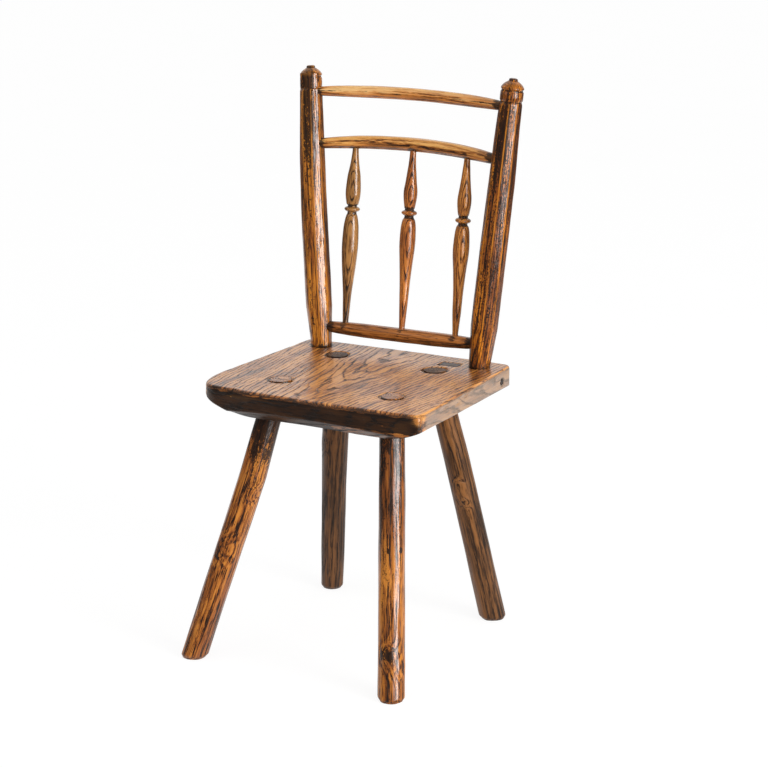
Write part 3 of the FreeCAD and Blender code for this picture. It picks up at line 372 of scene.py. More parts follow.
# How much the features cover, dull or raise the wood
PORES_IN_RINGS = 0.7
PORES_BETWEEN = 0.30
DARKENED_COVER = 0.92
LIGHTENED_COVER = 0.9
SHEEN_COVER = 0.72
ROUGH_SWING = 0.22
RING_ROUGHNESS = 0.14
DARKENED_DULLS = 0.40
RINGS_DULL = 0.60
RELIEF = {"rings": -0.55, "fibre": 0.45, "pores": -0.7, "flecks": 0.5}
RELIEF_DISTANCE = 0.0007

# Floor, room, lights and camera
FLOOR_DROP = 0.0005
FLOOR_TONES = ((0.60, 0.60, 0.60, 1.0), (0.64, 0.64, 0.64, 1.0))
FLOOR_WHITE_SHARE = 0.74
PAPER_STRENGTH = 1.20
WORLD_STRENGTH = 0.70
SHADE_STRENGTH = 0.34
LIT_DIRECTION = (0.42, -0.42, 0.80)
LIT_SPREAD = (-0.4, 0.8)
ROOM_STRENGTH = 0.08
BACKDROP_STRENGTH = 0.76
BACKDROP_DIRECTION = (-0.493, 0.870, 0.0)
ASIDE_DIRECTION = (0.870, 0.493, 0.0)
FLAG_EDGE = 0.45
WHITE = (1.0, 1.0, 1.0, 1.0)
# Lights: angle round from the front towards the right, angle up, distance, width, height and power
LIGHTS = {
    "key": (79, 10, 3.0, 1.15, 2.5, 72),
    "strip": (57, 6, 3.0, 0.36, 2.2, 13),
    "fill": (-40, 40, 4.0, 3.0, 2.0, 7),
}
LIGHT_TARGET = Vector((0, 0, 0.50))
CAMERA_PLACE = (1.8015, -3.0717, 1.4067)
# Degrees: round from the front towards the right, looking down, and rolled
CAMERA_TURN = 29.552
CAMERA_DROP = 15.334
CAMERA_ROLL = -0.249
CAMERA_LENS = 108.96
CAMERA_SENSOR = 36


# Small maths

def smooth(low, high, value):
    """0 below low, 1 above high and a soft step between. The other way round if low is above high."""
    share = np.clip((np.asarray(value, float) - low) / (high - low), 0, 1)
    return share * share * (3 - 2 * share)


def bell(value, centre, width):
    return np.exp(-((np.asarray(value, float) - centre) / width) ** 2)


def marks(value, shapes):
    """The sum of steps and bands along a value."""
    total = np.zeros(len(value))
    for kind, amount, first, second in shapes:
        shape = smooth(first, second, value) if kind == "step" else bell(value, first, second)
        total = total + amount * shape
    return total


def weighted(amounts, shapes):
    """The sum of shapes, each times the amount that has its name."""
    return sum(amounts[name] * shape for name, shape in shapes.items())


def unevenness(points, stretch, seed):
    """Smooth noise between about -1 and 1 at points, with a stretch for each axis."""
    shift = Vector((seed * 7.31, seed * 3.77, seed * 5.13))
    scaled = np.asarray(points, float) * np.asarray(stretch, float)
    return np.array([noise.noise(Vector(point) + shift) for point in scaled])


def shaving(angles, height, pace, layers, seed):
    """How far worked wood stands out round a turned piece. A metre of height is pace times a radius."""
    spots = np.stack([np.cos(angles), np.sin(angles), np.full(len(angles), height * pace)], -1)
    return sum(depth * unevenness(spots, stretch, seed + change) for depth, stretch, change in layers)


def flowing(stations, heights):
    """A smooth curve through stations of height and value, which never overshoots them."""
    at, value = np.array(stations, float).T
    slopes = np.diff(value) / np.diff(at)
    before, after = slopes[:-1], slopes[1:]
    same = before * after > 0
    tangent = np.zeros(len(at))
    tangent[1:-1][same] = 2 * before[same] * after[same] / (before[same] + after[same])
    index = np.clip(np.searchsorted(at, heights) - 1, 0, len(at) - 2)
    step = at[index + 1] - at[index]
    share = np.clip((heights - at[index]) / step, 0, 1)
    rest = 1 - share
    return ((1 + 2 * share) * rest ** 2 * value[index] + share * rest ** 2 * step * tangent[index]
            + (3 - 2 * share) * share ** 2 * value[index + 1]
            - share ** 2 * rest * step * tangent[index + 1])


def between(levels, step):
    """Heights through all levels, with steps no longer than step."""
    heights = [levels[0]]
    for low, high in zip(levels, levels[1:]):
        count = max(1, math.ceil((high - low) / step))
        for index in range(1, count + 1):
            heights.append(low + (high - low) * index / count)
    return np.array(heights)


def soft_octagon(angles, softness):
    """Radius of an octagon with worn corners, for a half width of 1. Its flats face +X, +Y and 45 degrees."""
    total = np.zeros_like(angles)
    for index in range(8):
        total += np.clip(np.cos(angles - math.pi / 4 * index), 0, 1) ** softness
    return total ** (-1 / softness)


def soft_oblong(columns, length, width, sharpness):
    """Points round an oblong with soft corners."""
    angles = np.arange(columns) * 2 * math.pi / columns
    along, across = np.cos(angles), np.sin(angles)
    square = (np.abs(along) ** sharpness + np.abs(across) ** sharpness) ** (-1 / sharpness)
    return np.stack([length / 2 * square * along, width / 2 * square * across], -1)


def turned_from(angles, degrees):
    """Angles measured from a direction in degrees, the short way round."""
    return np.angle(np.exp(1j * (angles - math.radians(degrees))))


def away_from(x, y, place):
    return np.hypot(x - place[0], y - place[1])


def leaning(base, tip):
    """Matrix with its origin at base and Z towards tip, turned the shortest way from upright."""
    direction = Vector(tip) - Vector(base)
    turn = UP.rotation_difference(direction).to_matrix().to_4x4()
    return Matrix.Translation(base) @ turn


def place_points(matrix, points):
    rotation = np.array(matrix.to_3x3())
    return points @ rotation.T + np.array(matrix.translation)


def level_slice(matrix, lattice, level):
    """Distances along a leaning axis that bring the lattice's points to a level."""
    tilt = np.array(matrix.to_3x3())[2]
    return (level - lattice[..., 0] * tilt[0] - lattice[..., 1] * tilt[1]) / tilt[2]


# Meshes

def closed_lattice(lattice):
    """Points and faces of a tube of rings, closed by a point at each end."""
    rows, columns = lattice.shape[:2]
    first = rows * columns
    last = first + 1
    top = (rows - 1) * columns
    points = np.vstack([lattice.reshape(-1, 3), lattice[0].mean(0), lattice[-1].mean(0)])
    faces = []
    for column in range(columns):
        following = (column + 1) % columns
        faces.append((first, following, column))
        faces.append((last, top + column, top + following))
        for below in range(0, top, columns):
            above = below + columns
            faces.append((below + column, below + following, above + following, above + column))
    return points, faces


def turned(heights, radius, sides, cap_steps=7):
    """Rings of a piece about Z: heights, and radius(height, angles) for each ring.

    The ends are closed by smaller and smaller rings."""
    angles = np.arange(sides) * 2 * math.pi / sides
    rings = []
    for height in heights:
        around = radius(height, angles)
        rings.append(np.stack([around * np.cos(angles), around * np.sin(angles),
                               np.full(sides, height)], -1))
    shares = [1 - (index + 1) / (cap_steps + 1) for index in range(cap_steps)]
    lower = [rings[0] * (share, share, 1) for share in reversed(shares)]
    upper = [rings[-1] * (share, share, 1) for share in shares]
    return np.array(lower + rings + upper)


def bent_piece(lattice, bent, matrix):
    """Points in the timber, points on the chair and faces, for a straight lattice and its bent form."""
    grain, faces = closed_lattice(lattice)
    points, faces = closed_lattice(bent)
    return grain, place_points(matrix, points), faces


def add_piece(node, points, faces, grain, amounts, looks):
    """A piece of the chair: its mesh, its place in the timber and its marks at each point, and its wood."""
    mesh = bpy.data.meshes.new(f"{node}_wood")
    mesh.from_pydata([tuple(point) for point in points], [], faces)
    mesh.polygons.foreach_set("use_smooth", [True] * len(mesh.polygons))
    layer = mesh.attributes.new("grain", "FLOAT_VECTOR", "POINT")
    layer.data.foreach_set("vector", np.asarray(grain, np.float32).ravel())
    for key, amount in amounts.items():
        layer = mesh.attributes.new(key, "FLOAT", "POINT")
        layer.data.foreach_set("value", np.full(len(points), amount, np.float32))
    mesh.validate()
    mesh.update()
    piece = bpy.data.objects.new(f"{node}_wood", mesh)
    bpy.context.scene.collection.objects.link(piece)
    piece.data.materials.append(wood(node, **looks))
    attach(piece, "root")
    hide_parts(node)


# Materials

def colour(tone):
    """A display colour, 0 to 255, as a linear colour."""
    channels = []
    for value in tone:
        share = value / 255
        channels.append(share / 12.92 if share <= 0.04045 else ((share + 0.055) / 1.055) ** 2.4)
    return (*channels, 1.0)


class Value:
    """What a node gives, as an amount that can be added, taken away and multiplied."""

    def __init__(self, tree, socket):
        self.tree = tree
        self.socket = socket

    def __add__(self, other):
        return self.tree.math("ADD", self, other)

    def __radd__(self, other):
        return self.tree.math("ADD", other, self)

    def __sub__(self, other):
        return self.tree.math("SUBTRACT", self, other)

    def __rsub__(self, other):
        return self.tree.math("SUBTRACT", other, self)

    def __mul__(self, other):
        return self.tree.math("MULTIPLY", self, other)


class Tree:
    """A short way to write the nodes of a material or a world."""

    def __init__(self, owner):
        owner.use_nodes = True
        self.owner = owner
        self.nodes = owner.node_tree.nodes
        self.links = owner.node_tree.links
        self.nodes.clear()

    def node(self, kind, inputs=None, **settings):
        node = self.nodes.new(kind)
        for key, value in settings.items():
            setattr(node, key, value)
        for key, value in (inputs or {}).items():
            if isinstance(value, Value):
                self.links.new(value.socket, node.inputs[key])
            else:
                node.inputs[key].default_value = value
        return node

    def value(self, kind, inputs=None, output=0, **settings):
        return Value(self, self.node(kind, inputs, **settings).outputs[output])

    def values(self, kind, inputs=None):
        return {socket.name: Value(self, socket) for socket in self.node(kind, inputs).outputs}

    def attribute(self, name, output="Fac"):
        return self.value("ShaderNodeAttribute", None, output, attribute_name=name)

    def math(self, operation, first, second=0.0, clamp=False):
        return self.value("ShaderNodeMath", {0: first, 1: second}, operation=operation, use_clamp=clamp)

    def blend(self, share, first, second):
        return share * first + (1.0 - share) * second

    def vector(self, operation, first, second, output=0):
        return self.value("ShaderNodeVectorMath", {0: first, 1: second}, output, operation=operation)

    def dot(self, first, second):
        return self.vector("DOT_PRODUCT", first, second, "Value")

    def cloud(self, vector, stretch, detail, output="Fac", **inputs):
        stretched = self.vector("MULTIPLY", vector, stretch)
        inputs = {"Vector": stretched, "Scale": 1.0, "Detail": detail, **inputs}
        return self.value("ShaderNodeTexNoise", inputs, output)

    def shift(self, vector, stretch, amount):
        """A vector pushed about by noise."""
        centred = self.vector("SUBTRACT", self.cloud(vector, stretch, 2.0, "Color"), (0.5, 0.5, 0.5))
        return self.vector("ADD", vector, self.vector("MULTIPLY", centred, amount))

    def step(self, value, low, high):
        """0 below low, 1 above high."""
        return self.value("ShaderNodeMapRange", {"Value": value, "From Min": low, "From Max": high},
                          "Result", interpolation_type="SMOOTHSTEP")

    def ramp(self, value, tones):
        node = self.node("ShaderNodeValToRGB", {"Fac": value})
        elements = node.color_ramp.elements
        elements.new(0.5)
        for element, position, tone in zip(elements, TONE_STOPS, tones):
            element.position = position
            element.color = tone
        return Value(self, node.outputs["Color"])

    def mix(self, share, first, second):
        """A mix of two colours."""
        return self.value("ShaderNodeMix", {"Factor": share, "A": first, "B": second}, "Result",
                          data_type="RGBA")


def wood(name, tones, seed, ring_gap=0.0035, pith=(0.03, 0.02), taper=0.004, wander=0.003, ripple=0.3,
         depth=0.30, ring_depth=0.6, ring_width=0.62, fibre_depth=0.6, streak_depth=1.2, broad_depth=1.8,
         pores=0.7, darkened_streak_light=0.13, patchiness=2.0, flecks=1.2, specks=0.0, gloss=0.38, coat=0.7,
         coat_gloss=0.09, bump=0.6, coat_bump=0.3, across=1.0):
    """Old waxed wood. Rings run about a pith beside the piece, and grain runs along its Z."""
    light, middle, dark = (colour(tone) for tone in tones)
    # The black-brown of pores, dirt and painted shade
    soot = colour(BLACK_BROWN)
    tree = Tree(bpy.data.materials.new(name))
    place = tree.vector("ADD", tree.attribute("grain", "Vector"), (0.0, 0.0, seed))
    bent = place
    for (wide, along), push in ((SLOW_BEND, wander), (QUICK_BEND, wander * ripple)):
        bent = tree.shift(bent, (wide * across, wide * across, along), (push, push, 0.0))
    x, y, z = tree.values("ShaderNodeSeparateXYZ", {0: bent}).values()
    from_x = x - pith[0]
    from_y = y - pith[1]
    reach = tree.math("SQRT", from_x * from_x + from_y * from_y) + z * taper
    rings = tree.math("FRACT", tree.math("DIVIDE", reach, ring_gap))
    early = tree.step(rings, *RING_START) * (1.0 - tree.step(rings, RING_FADE, ring_width))
    dashes, fibre, streak, broad, patch, fleck, speck = (
        tree.cloud(place, (wide * across, wide * across, along), detail, Roughness=roughness)
        for wide, along, detail, roughness in WOOD_NOISES.values())
    ring_line = tree.math("MULTIPLY", early, tree.step(dashes, *RING_BREAKS), True)
    fibre_line = tree.step(fibre, *FIBRE_LINES) * tree.step(dashes, *FIBRE_BREAKS)
    tone = (ring_line * ring_depth + (fibre_line - FIBRE_MIDDLE) * fibre_depth + (streak - 0.5) * streak_depth
            + (broad - 0.5) * broad_depth + (tree.attribute("deep") + depth))
    pore_mark = tree.step(dashes, *PORE_MARKS) * (early * PORES_IN_RINGS + PORES_BETWEEN)
    body = tree.mix(pore_mark * pores, tree.ramp(tone, (light, middle, dark)), soot)
    # Black wax, dirt and painted shade where the piece says so, and dirt in patches of its own
    darkened = tree.step(tree.attribute("soot") + (patch - 0.5) * patchiness + (fleck - 0.5) * flecks
                     + (fibre - 0.5) * (flecks * 0.4) + (speck - 0.5) * specks, *DARKENED_EDGE)
    darkened_colour = tree.mix(tree.step(streak, *DARKENED_STREAKS) * darkened_streak_light, soot, middle)
    body = tree.mix(darkened * DARKENED_COVER, body, darkened_colour)
    # Wear lightens the wood, and so does a painted sheen where the piece says so
    worn = tree.attribute("wear") * tree.step(streak + fleck * 0.5, *LIGHTENED_STREAKS)
    body = tree.mix(tree.math("MULTIPLY", worn, LIGHTENED_COVER, True), body, light)
    # A grey painted sheen where the piece says so
    body = tree.mix(tree.attribute("pale") * SHEEN_COVER, body, colour(SHEEN_GREY))
    polish = (1.0 - darkened * DARKENED_DULLS) * (1.0 - ring_line * RINGS_DULL)
    height = (ring_line * RELIEF["rings"] + fibre * RELIEF["fibre"] + pore_mark * RELIEF["pores"]
              + fleck * RELIEF["flecks"])
    relief, soft_relief = (
        tree.value("ShaderNodeBump", {"Strength": strength, "Distance": RELIEF_DISTANCE, "Height": height},
                   "Normal")
        for strength in (bump, bump * coat_bump))
    shader = tree.value("ShaderNodeBsdfPrincipled", {
        "Base Color": body, "Roughness": gloss + (broad - 0.5) * ROUGH_SWING + ring_line * RING_ROUGHNESS,
        "Normal": relief, "Specular IOR Level": SPECULAR_LEVEL, "Coat Weight": polish * coat,
        "Coat Roughness": coat_gloss + COAT_WEAR, "Coat IOR": COAT_IOR, "Coat Normal": soft_relief})
    tree.node("ShaderNodeOutputMaterial", {"Surface": shader})
    return tree.owner


# Legs

def leg_ends(leg):
    return Vector((*LEGS[leg]["foot"], 0)), Vector((*LEGS[leg]["head"], SEAT_TOP))


def leg_diameter(leg, height):
    foot, low, high, neck = LEGS[leg]["diameters"]
    return np.interp(height, [0, LEG_ANKLE, LEG_LOW, LEG_HIGH, LEG_NECK, SEAT_TOP],
                     [foot, foot, low, high, neck, LEG_END_DIAMETER])


def leg_crook(leg, height):
    share = np.interp(height, [0, LEG_ANKLE, LEG_LOW, LEG_HIGH, LEG_NECK], [0, 0, LOW_CROOK_SHARE, 1, 0])
    return share * LEGS[leg]["crook"]


def off_spot(angles, heights, spot_height, spot_angle):
    """Distance over the skin of a leg from a spot."""
    return np.hypot(turned_from(angles, spot_angle) * LEG_SKIN_RADIUS, heights - spot_height)


def make_leg(leg):
    looks = LEG_LOOKS[leg]
    seed = looks["seed"]
    matrix = leaning(*leg_ends(leg))
    heights = between([0.0, 0.0006, 0.0016, 0.003, 0.0045, 0.006, 0.4375, 0.4392, SEAT_TOP], 0.0025)

    def radius(height, angles):
        share = 1 if height < LEG_NECK else TENON_SHAVING_SHARE
        around = leg_diameter(leg, height) / 2 + share * shaving(angles, height, 9, LEG_SHAVING, seed)
        for knot_height, knot_angle, size, stand, darkness in LEG_KNOTS[leg]:
            around += stand * bell(off_spot(angles, height, knot_height, knot_angle), 0, size)
        if leg == "front_right":
            flat = bell(turned_from(angles, FLAT["angle"]), 0, FLAT["half_turn"])
            around -= FLAT["depth"] * flat * smooth(FLAT["from"], FLAT["to"], height)
        around -= FOOT_EDGE_WEAR * (1 - smooth(0, FOOT_EDGE_HEIGHT, height))
        if height > SEAT_TOP - 0.0030:
            around += shaving(angles, height, 9, [(0.0007, (2.5, 2.5, 0), 5)], seed)
            around -= 0.0008 * smooth(SEAT_TOP - 0.0020, SEAT_TOP, height)
        return around

    lattice = turned(heights, radius, 96)
    bent = lattice.copy()
    bent[..., 0] += leg_crook(leg, lattice[..., 2])
    # The rings are level, so the ends lie flat on the floor and in the seat
    bent[..., 2] = level_slice(matrix, bent, lattice[..., 2])
    grain, world, faces = bent_piece(lattice, bent, matrix)
    z = world[:, 2]
    angles = np.arctan2(grain[:, 1], grain[:, 0])
    soot = marks(z, LEG_DARKENING + LEG_MARKS[leg]["soot"])
    swirl = np.ones(len(grain))
    for knot_height, knot_angle, size, stand, darkness in LEG_KNOTS[leg]:
        off = off_spot(angles, grain[:, 2], knot_height, knot_angle)
        soot += darkness * bell(off, 0, size * 0.62)
        swirl -= 0.45 * bell(off, 0, size * 1.1)
    if leg == "front_right":
        for hole_height, hole_angle in NAIL_HOLES:
            soot += 1.2 * smooth(*NAIL_HOLE_EDGE, off_spot(angles, grain[:, 2], hole_height, hole_angle))
    # Rings bend round the knots
    grain[:, :2] *= swirl[:, None]
    on_end = smooth(SEAT_TOP - 0.0012, SEAT_TOP - 0.0006, z)
    rim = smooth(0.72, 1.0, np.hypot(grain[:, 0], grain[:, 1]) / (LEG_END_DIAMETER / 2))
    soot = soot * (1 - on_end) + on_end * (0.02 + 0.6 * rim)
    deep = marks(z, LEG_MARKS[leg]["deep"]) * (1 - on_end)
    add_piece(f"leg_{leg}", world, faces, grain, {"soot": soot, "deep": deep},
              {**LEG_WOOD, **looks})


def make_wedge(leg):
    foot, head = leg_ends(leg)
    matrix = leaning(foot, head)
    length = (head - foot).length
    rings = []
    for share in np.arange(13) / 12:
        thickness = WEDGE_TIP + (WEDGE_HEAD - WEDGE_TIP) * share
        ring = soft_oblong(24, WEDGE_WIDTH, thickness, 6)
        rings.append(np.column_stack([ring, np.full(24, length - WEDGE_DEPTH * (1 - share))]))
    middle = rings[-1].mean(0)
    rings += [middle + (rings[-1] - middle) * (1, share, 1) for share in (0.7, 0.35)]
    lattice = np.array(rings)
    ends = lattice[-3:]
    ends[..., 2] = level_slice(matrix, ends, SEAT_TOP)
    points, faces = closed_lattice(lattice)
    world = place_points(matrix, points)
    world[:, 2] += 0.0003 * unevenness(world, (400, 400, 0), 3) * (world[:, 2] > SEAT_TOP - 0.001)
    world[:, 2] = np.minimum(world[:, 2], SEAT_TOP + 0.0002)
    add_piece(f"wedge_{leg}", world, faces, points - (0, 0, length), {"soot": 0.10},
              {**WEDGE_LOOKS, "seed": LEG_LOOKS[leg]["seed"]})


# Posts

def post_ends(side):
    return Vector((*POSTS[side]["base"], SEAT_TOP)), Vector(POSTS[side]["tip"])


def post_length(side):
    base, tip = post_ends(side)
    return (tip - base).length


def post_axis(side, height):
    """Point of the post's bowed axis at a height above the floor."""
    base, tip = post_ends(side)
    share = (height - base.z) / (tip.z - base.z)
    bow = POSTS[side]["bow"] * math.sin(math.pi * share)
    return base + (tip - base) * share + Vector((bow, 0, 0))


def post_shaft(side):
    return post_length(side) - 2 * GROOVE_WIDTH - BAND_HEIGHT - DOME_EDGE - DOME_HEIGHT - BUTTON_HEIGHT


def post_width(side, distance):
    return float(np.interp(distance, [0, POST_SWELL_START, POST_SWELL_END, POST_NECK, post_shaft(side)],
                           [POST_BASE_WIDTH, POST_SWELL_WIDTH, POST_SWELL_WIDTH, POST_NECK_WIDTH,
                            POST_SHOULDER_WIDTH]))


def top_outline(side):
    """Heights and radii of the turned top, from the lower groove up to the button."""
    full = TOP_DIAMETER / 2
    rim = BUTTON_DIAMETER / 2
    sunk = full - GROOVE_DEPTH
    start = post_shaft(side)
    low = start + GROOVE_WIDTH
    high = low + BAND_HEIGHT
    edge = high + GROOVE_WIDTH
    dome = edge + DOME_EDGE
    crown = dome + DOME_HEIGHT
    lower_groove, upper_groove = (
        [(at, sunk + GROOVE_LIP), (at + GROOVE_WIDTH / 2, sunk), (at + GROOVE_WIDTH, sunk + GROOVE_LIP)]
        for at in (start, high))
    outline = lower_groove + [(low + 0.0002, full - 0.0010), (low + 0.0012, full), (high - 0.0014, full),
                              (high - 0.0002, full - 0.0012)]
    outline += upper_groove + [(edge + 0.0002, full - 0.0008), (edge + 0.0012, full - 0.0001), (dome, full)]
    for index in range(1, 13):
        share = index / 12
        bulge = math.sin(math.pi * share) * DOME_BULGE
        rise = DOME_HEIGHT * share ** 1.15 + bulge * 0.4
        outline.append((dome + rise, full + (rim - full) * share + bulge))
    for up, in_from in ((0.5, 1.0), (0.8, 0.88), (0.97, 0.6)):
        outline.append((crown + BUTTON_HEIGHT * up, rim * in_from))
    return outline


def grooves_kept(angles):
    return smooth(0.55, 0.95, np.cos(angles - math.radians(GROOVES_KEPT_AT)))


def make_post(side):
    facts = POSTS[side]
    places = POST_MARKS[side]
    looks = POST_LOOKS[side]
    seed = looks["seed"]
    length = post_length(side)
    shaft = post_shaft(side)
    button = length - BUTTON_HEIGHT
    facet_turn = math.radians(facts["turn"])
    turned_heights, turned_radii = np.array(top_outline(side)).T
    octagon_heights = between([-0.0020, POST_SWELL_START, POST_SWELL_END, POST_NECK, shaft - 0.0012,
                               shaft - 0.0001], 0.0028)
    heights = np.unique(np.concatenate([between([-POST_TENON_LENGTH, -0.0021], 0.006), octagon_heights,
                                        turned_heights]))

    def radius(height, angles):
        if height < -0.002:
            return np.full(len(angles), POST_TENON_DIAMETER / 2)
        if height >= shaft:
            around = np.full(len(angles), np.interp(height, turned_heights, turned_radii))
            if side == "left" and height < shaft + GROOVES_WORN_UP_TO:
                worn = TOP_DIAMETER / 2 - 0.0005
                around = worn - (worn - around) * (0.15 + 0.85 * grooves_kept(angles))
            return around + shaving(angles, height, 9, POST_TOP_SHAVING, seed)
        around = post_width(side, max(height, 0.0)) / 2 * soft_octagon(angles - facet_turn, 14)
        around += shaving(angles, height, 9, POST_SHAVING, seed)
        return around - 0.0008 * smooth(shaft - 0.0030, shaft, height)

    lattice = turned(heights, radius, 128)
    bent = lattice.copy()
    bent[..., 0] += facts["bow"] * np.sin(math.pi * np.clip(lattice[..., 2] / length, 0, 1))
    grain, world, faces = bent_piece(lattice, bent, leaning(*post_ends(side)))
    up = grain[:, 2]
    angle = np.arctan2(grain[:, 1], grain[:, 0])
    front = np.clip(np.cos(angle - math.radians(facts["dark_at"])), 0, 1)
    spread = math.radians(facts["dark_spread"])
    dark_facet = smooth(math.cos(spread * 1.08), math.cos(spread * 0.86), front)
    dark_facet = dark_facet * smooth(*places["dark_facet"], up)
    dirt_end, dirt_full = places["dirt_end"]
    on_shaft = smooth(shaft + dirt_end, shaft + dirt_full, up)
    soot = (0.05 + 0.74 * dark_facet + marks(up, places["blotches"]) * (0.3 + 0.7 * front)) * on_shaft
    streaked = smooth(-0.05, 0.25, unevenness(grain, (190, 190, 30), seed + 20))
    soot += 0.50 * streaked * smooth(shaft, shaft + 0.004, up)
    kept = grooves_kept(angle) if side == "left" else 1.0
    for groove in (shaft, shaft + GROOVE_WIDTH + BAND_HEIGHT):
        soot += 0.8 * kept * bell(up, groove + GROOVE_WIDTH / 2, GROOVE_WIDTH * 0.62)
    # Darker at the foot as a painted shadow line where the post meets the seat, and darker on the button
    soot += marks(up, [("step", 0.75, 0.0060, 0.0008), ("step", 0.45, button - BUTTON_HEIGHT * 0.4, button)])
    corner = 1 - np.abs(np.cos(4 * (angle - facet_turn)))
    wear = 0.9 * smooth(0.72, 0.96, np.where(up < shaft, corner, 0)) * (up > 0.01)
    wear += 0.28 * smooth(shaft + 0.019, shaft + 0.026, up) * (up < button)
    # The side towards +X is deeper toned as painted shade
    deep = places["right_side_shade"] * smooth(0.80, 0.96, np.cos(angle - math.radians(10))) * (up < shaft)
    deep += 0.04 * (up > shaft)
    add_piece(f"post_{side}", world, faces, grain, {"soot": soot, "wear": wear, "deep": deep},
              {**POST_WOOD, **looks})


# Rails

def bend(share):
    return 1 - (2 * share - 1) ** 2


def rail_line(rail):
    """Ends of a rail's axis in the posts, its length, and where along it the posts' faces are."""
    left, right = RAILS[rail]["rise"]
    start = post_axis("left", SEAT_TOP + left)
    end = post_axis("right", SEAT_TOP + right)
    length = (end - start).length
    first = post_width("left", left) / 2 + RAIL_SHOULDER_GAP
    last = length - post_width("right", right) / 2 - RAIL_SHOULDER_GAP
    return start, end, length, first, last


def rail_matrix(rail):
    start, end = rail_line(rail)[:2]
    along = (end - start).normalized()
    backward = (BACK - along * BACK.dot(along)).normalized()
    matrix = Matrix((backward, along.cross(backward), along)).transposed().to_4x4()
    matrix.translation = start
    return matrix


def rail_point(rail, x):
    start, end, length, first, last = rail_line(rail)
    share = (x - start.x) / (end.x - start.x)
    amount = bend((share * length - first) / (last - first))
    return (start + (end - start) * share + BACK * RAILS[rail]["bow"] * amount
            + UP * RAILS[rail]["arch"] * amount)


def make_rail(rail):
    facts = RAILS[rail]
    places = RAIL_MARKS[rail]
    looks = RAIL_LOOKS[rail]
    start, end, length, first, last = rail_line(rail)
    heights = between([-RAIL_TENON, first - 0.006, first, last, last + 0.006, length + RAIL_TENON], 0.0028)

    def radius(height, angles):
        share = np.clip((height - first) / (last - first), 0, 1)
        half = (facts["middle"] - (facts["middle"] - facts["end"]) * (2 * share - 1) ** 4) / 2
        inside = smooth(first - 0.002, first + 0.004, height)
        inside = inside * (1 - smooth(last - 0.004, last + 0.002, height))
        around = half * (1 + (soft_octagon(angles, 26) - 1) * inside)
        return around + shaving(angles, height, 14, RAIL_SHAVING, looks["seed"]) * inside

    lattice = turned(heights, radius, 64, 3)
    amount = bend(np.clip((lattice[..., 2] - first) / (last - first), 0, 1))
    bent = lattice.copy()
    bent[..., 0] += facts["bow"] * amount
    bent[..., 1] += facts["arch"] * amount
    grain, world, faces = bent_piece(lattice, bent, rail_matrix(rail))
    above = grain[:, 1] / (facts["middle"] / 2)
    wave = np.sin(grain[:, 2] * RAIL_WAVE)
    from_end = np.minimum(grain[:, 2] - first, last - grain[:, 2])
    # Dirt all over and towards the ends, and painted shade on the lower half
    soot = places["soot"] + 0.50 * smooth(0.014, 0.0, from_end) + 0.26 * smooth(0.2, 0.9, -above)
    soot += places["arris"] * bell(grain[:, 1], 0.0012 * wave + 0.0008, 0.0011) * (grain[:, 0] < 0)
    if places["spindle_end"]:
        for spindle in SPINDLES.values():
            x = spindle[places["spindle_end"]]
            beside = (x, rail_point(rail, x).z + places["spindle_side"])
            soot += 0.5 * bell(away_from(world[:, 0], world[:, 2], beside), 0, 0.0075)
    # The upper half is lighter away from the ends, as wear and a painted sheen
    wear = 0.35 * smooth(0.3, 0.9, above) * (1 - smooth(0.02, 0.0, from_end))
    # The lower half is deeper toned as painted shade, and the right ends of the upper rails are deeper toned
    # too
    deep = smooth(0.15, -0.15, above + 0.12 * wave)
    if rail != "bottom":
        right_end = smooth(0.05, 0.15, world[:, 0])
        deep += 0.8 * right_end
        soot += 0.12 * right_end
    add_piece(f"{rail}_rail", world, faces, grain,
              {"soot": soot, "wear": wear, "deep": places["shade_and_tone"] * deep}, {**RAIL_WOOD, **looks})


# Spindles

def spindle_stations(spindle, length):
    """Heights and radii of a spindle from its lower end up."""
    facts = SPINDLES[spindle]
    tenon = SPINDLE_TENON / 2
    shaped = {offset: diameter / 2 for offset, diameter in facts["turning"]}
    shaped.update({side * offset: radius for side in (-1, 1) for offset, radius in BEAD})
    shaped.update({offset: SPINDLE_WAIST / 2 for offset in BEAD_ENDS})
    return ([(0.0, tenon), (0.013, tenon * 1.02), (0.022, tenon * 1.12)]
            + [(facts["bead"] + offset, radius) for offset, radius in sorted(shaped.items())]
            + [(length - 0.0120, tenon * 1.05), (length, tenon)])


def make_spindle(spindle):
    looks = SPINDLE_LOOKS[spindle]
    bead = SPINDLES[spindle]["bead"]
    foot = rail_point("bottom", SPINDLES[spindle]["foot"])
    head = rail_point("middle", SPINDLES[spindle]["head"])
    length = (head - foot).length
    stations = spindle_stations(spindle, length)

    def radius(height, angles):
        return flowing(stations, height) + shaving(angles, height, 20, SPINDLE_SHAVING, looks["seed"])

    lattice = turned(between([height for height, out in stations], 0.0016), radius, 64, 3)
    points, faces = closed_lattice(lattice)
    world = place_points(leaning(foot, head), points)
    soot = marks(points[:, 2], [
        ("band", 0.75, bead - 0.0062, 0.0042), ("band", 0.75, bead + 0.0062, 0.0040),
        ("step", 0.35, 0.030, 0.012), ("step", 0.40, length - 0.040, length - 0.012)])
    wear = 0.25 * bell(points[:, 2], bead, 0.0022)
    add_piece(f"spindle_{spindle}", world, faces, points, {"soot": soot, "wear": wear},
              {**SPINDLE_WOOD, **looks})


# Pegs

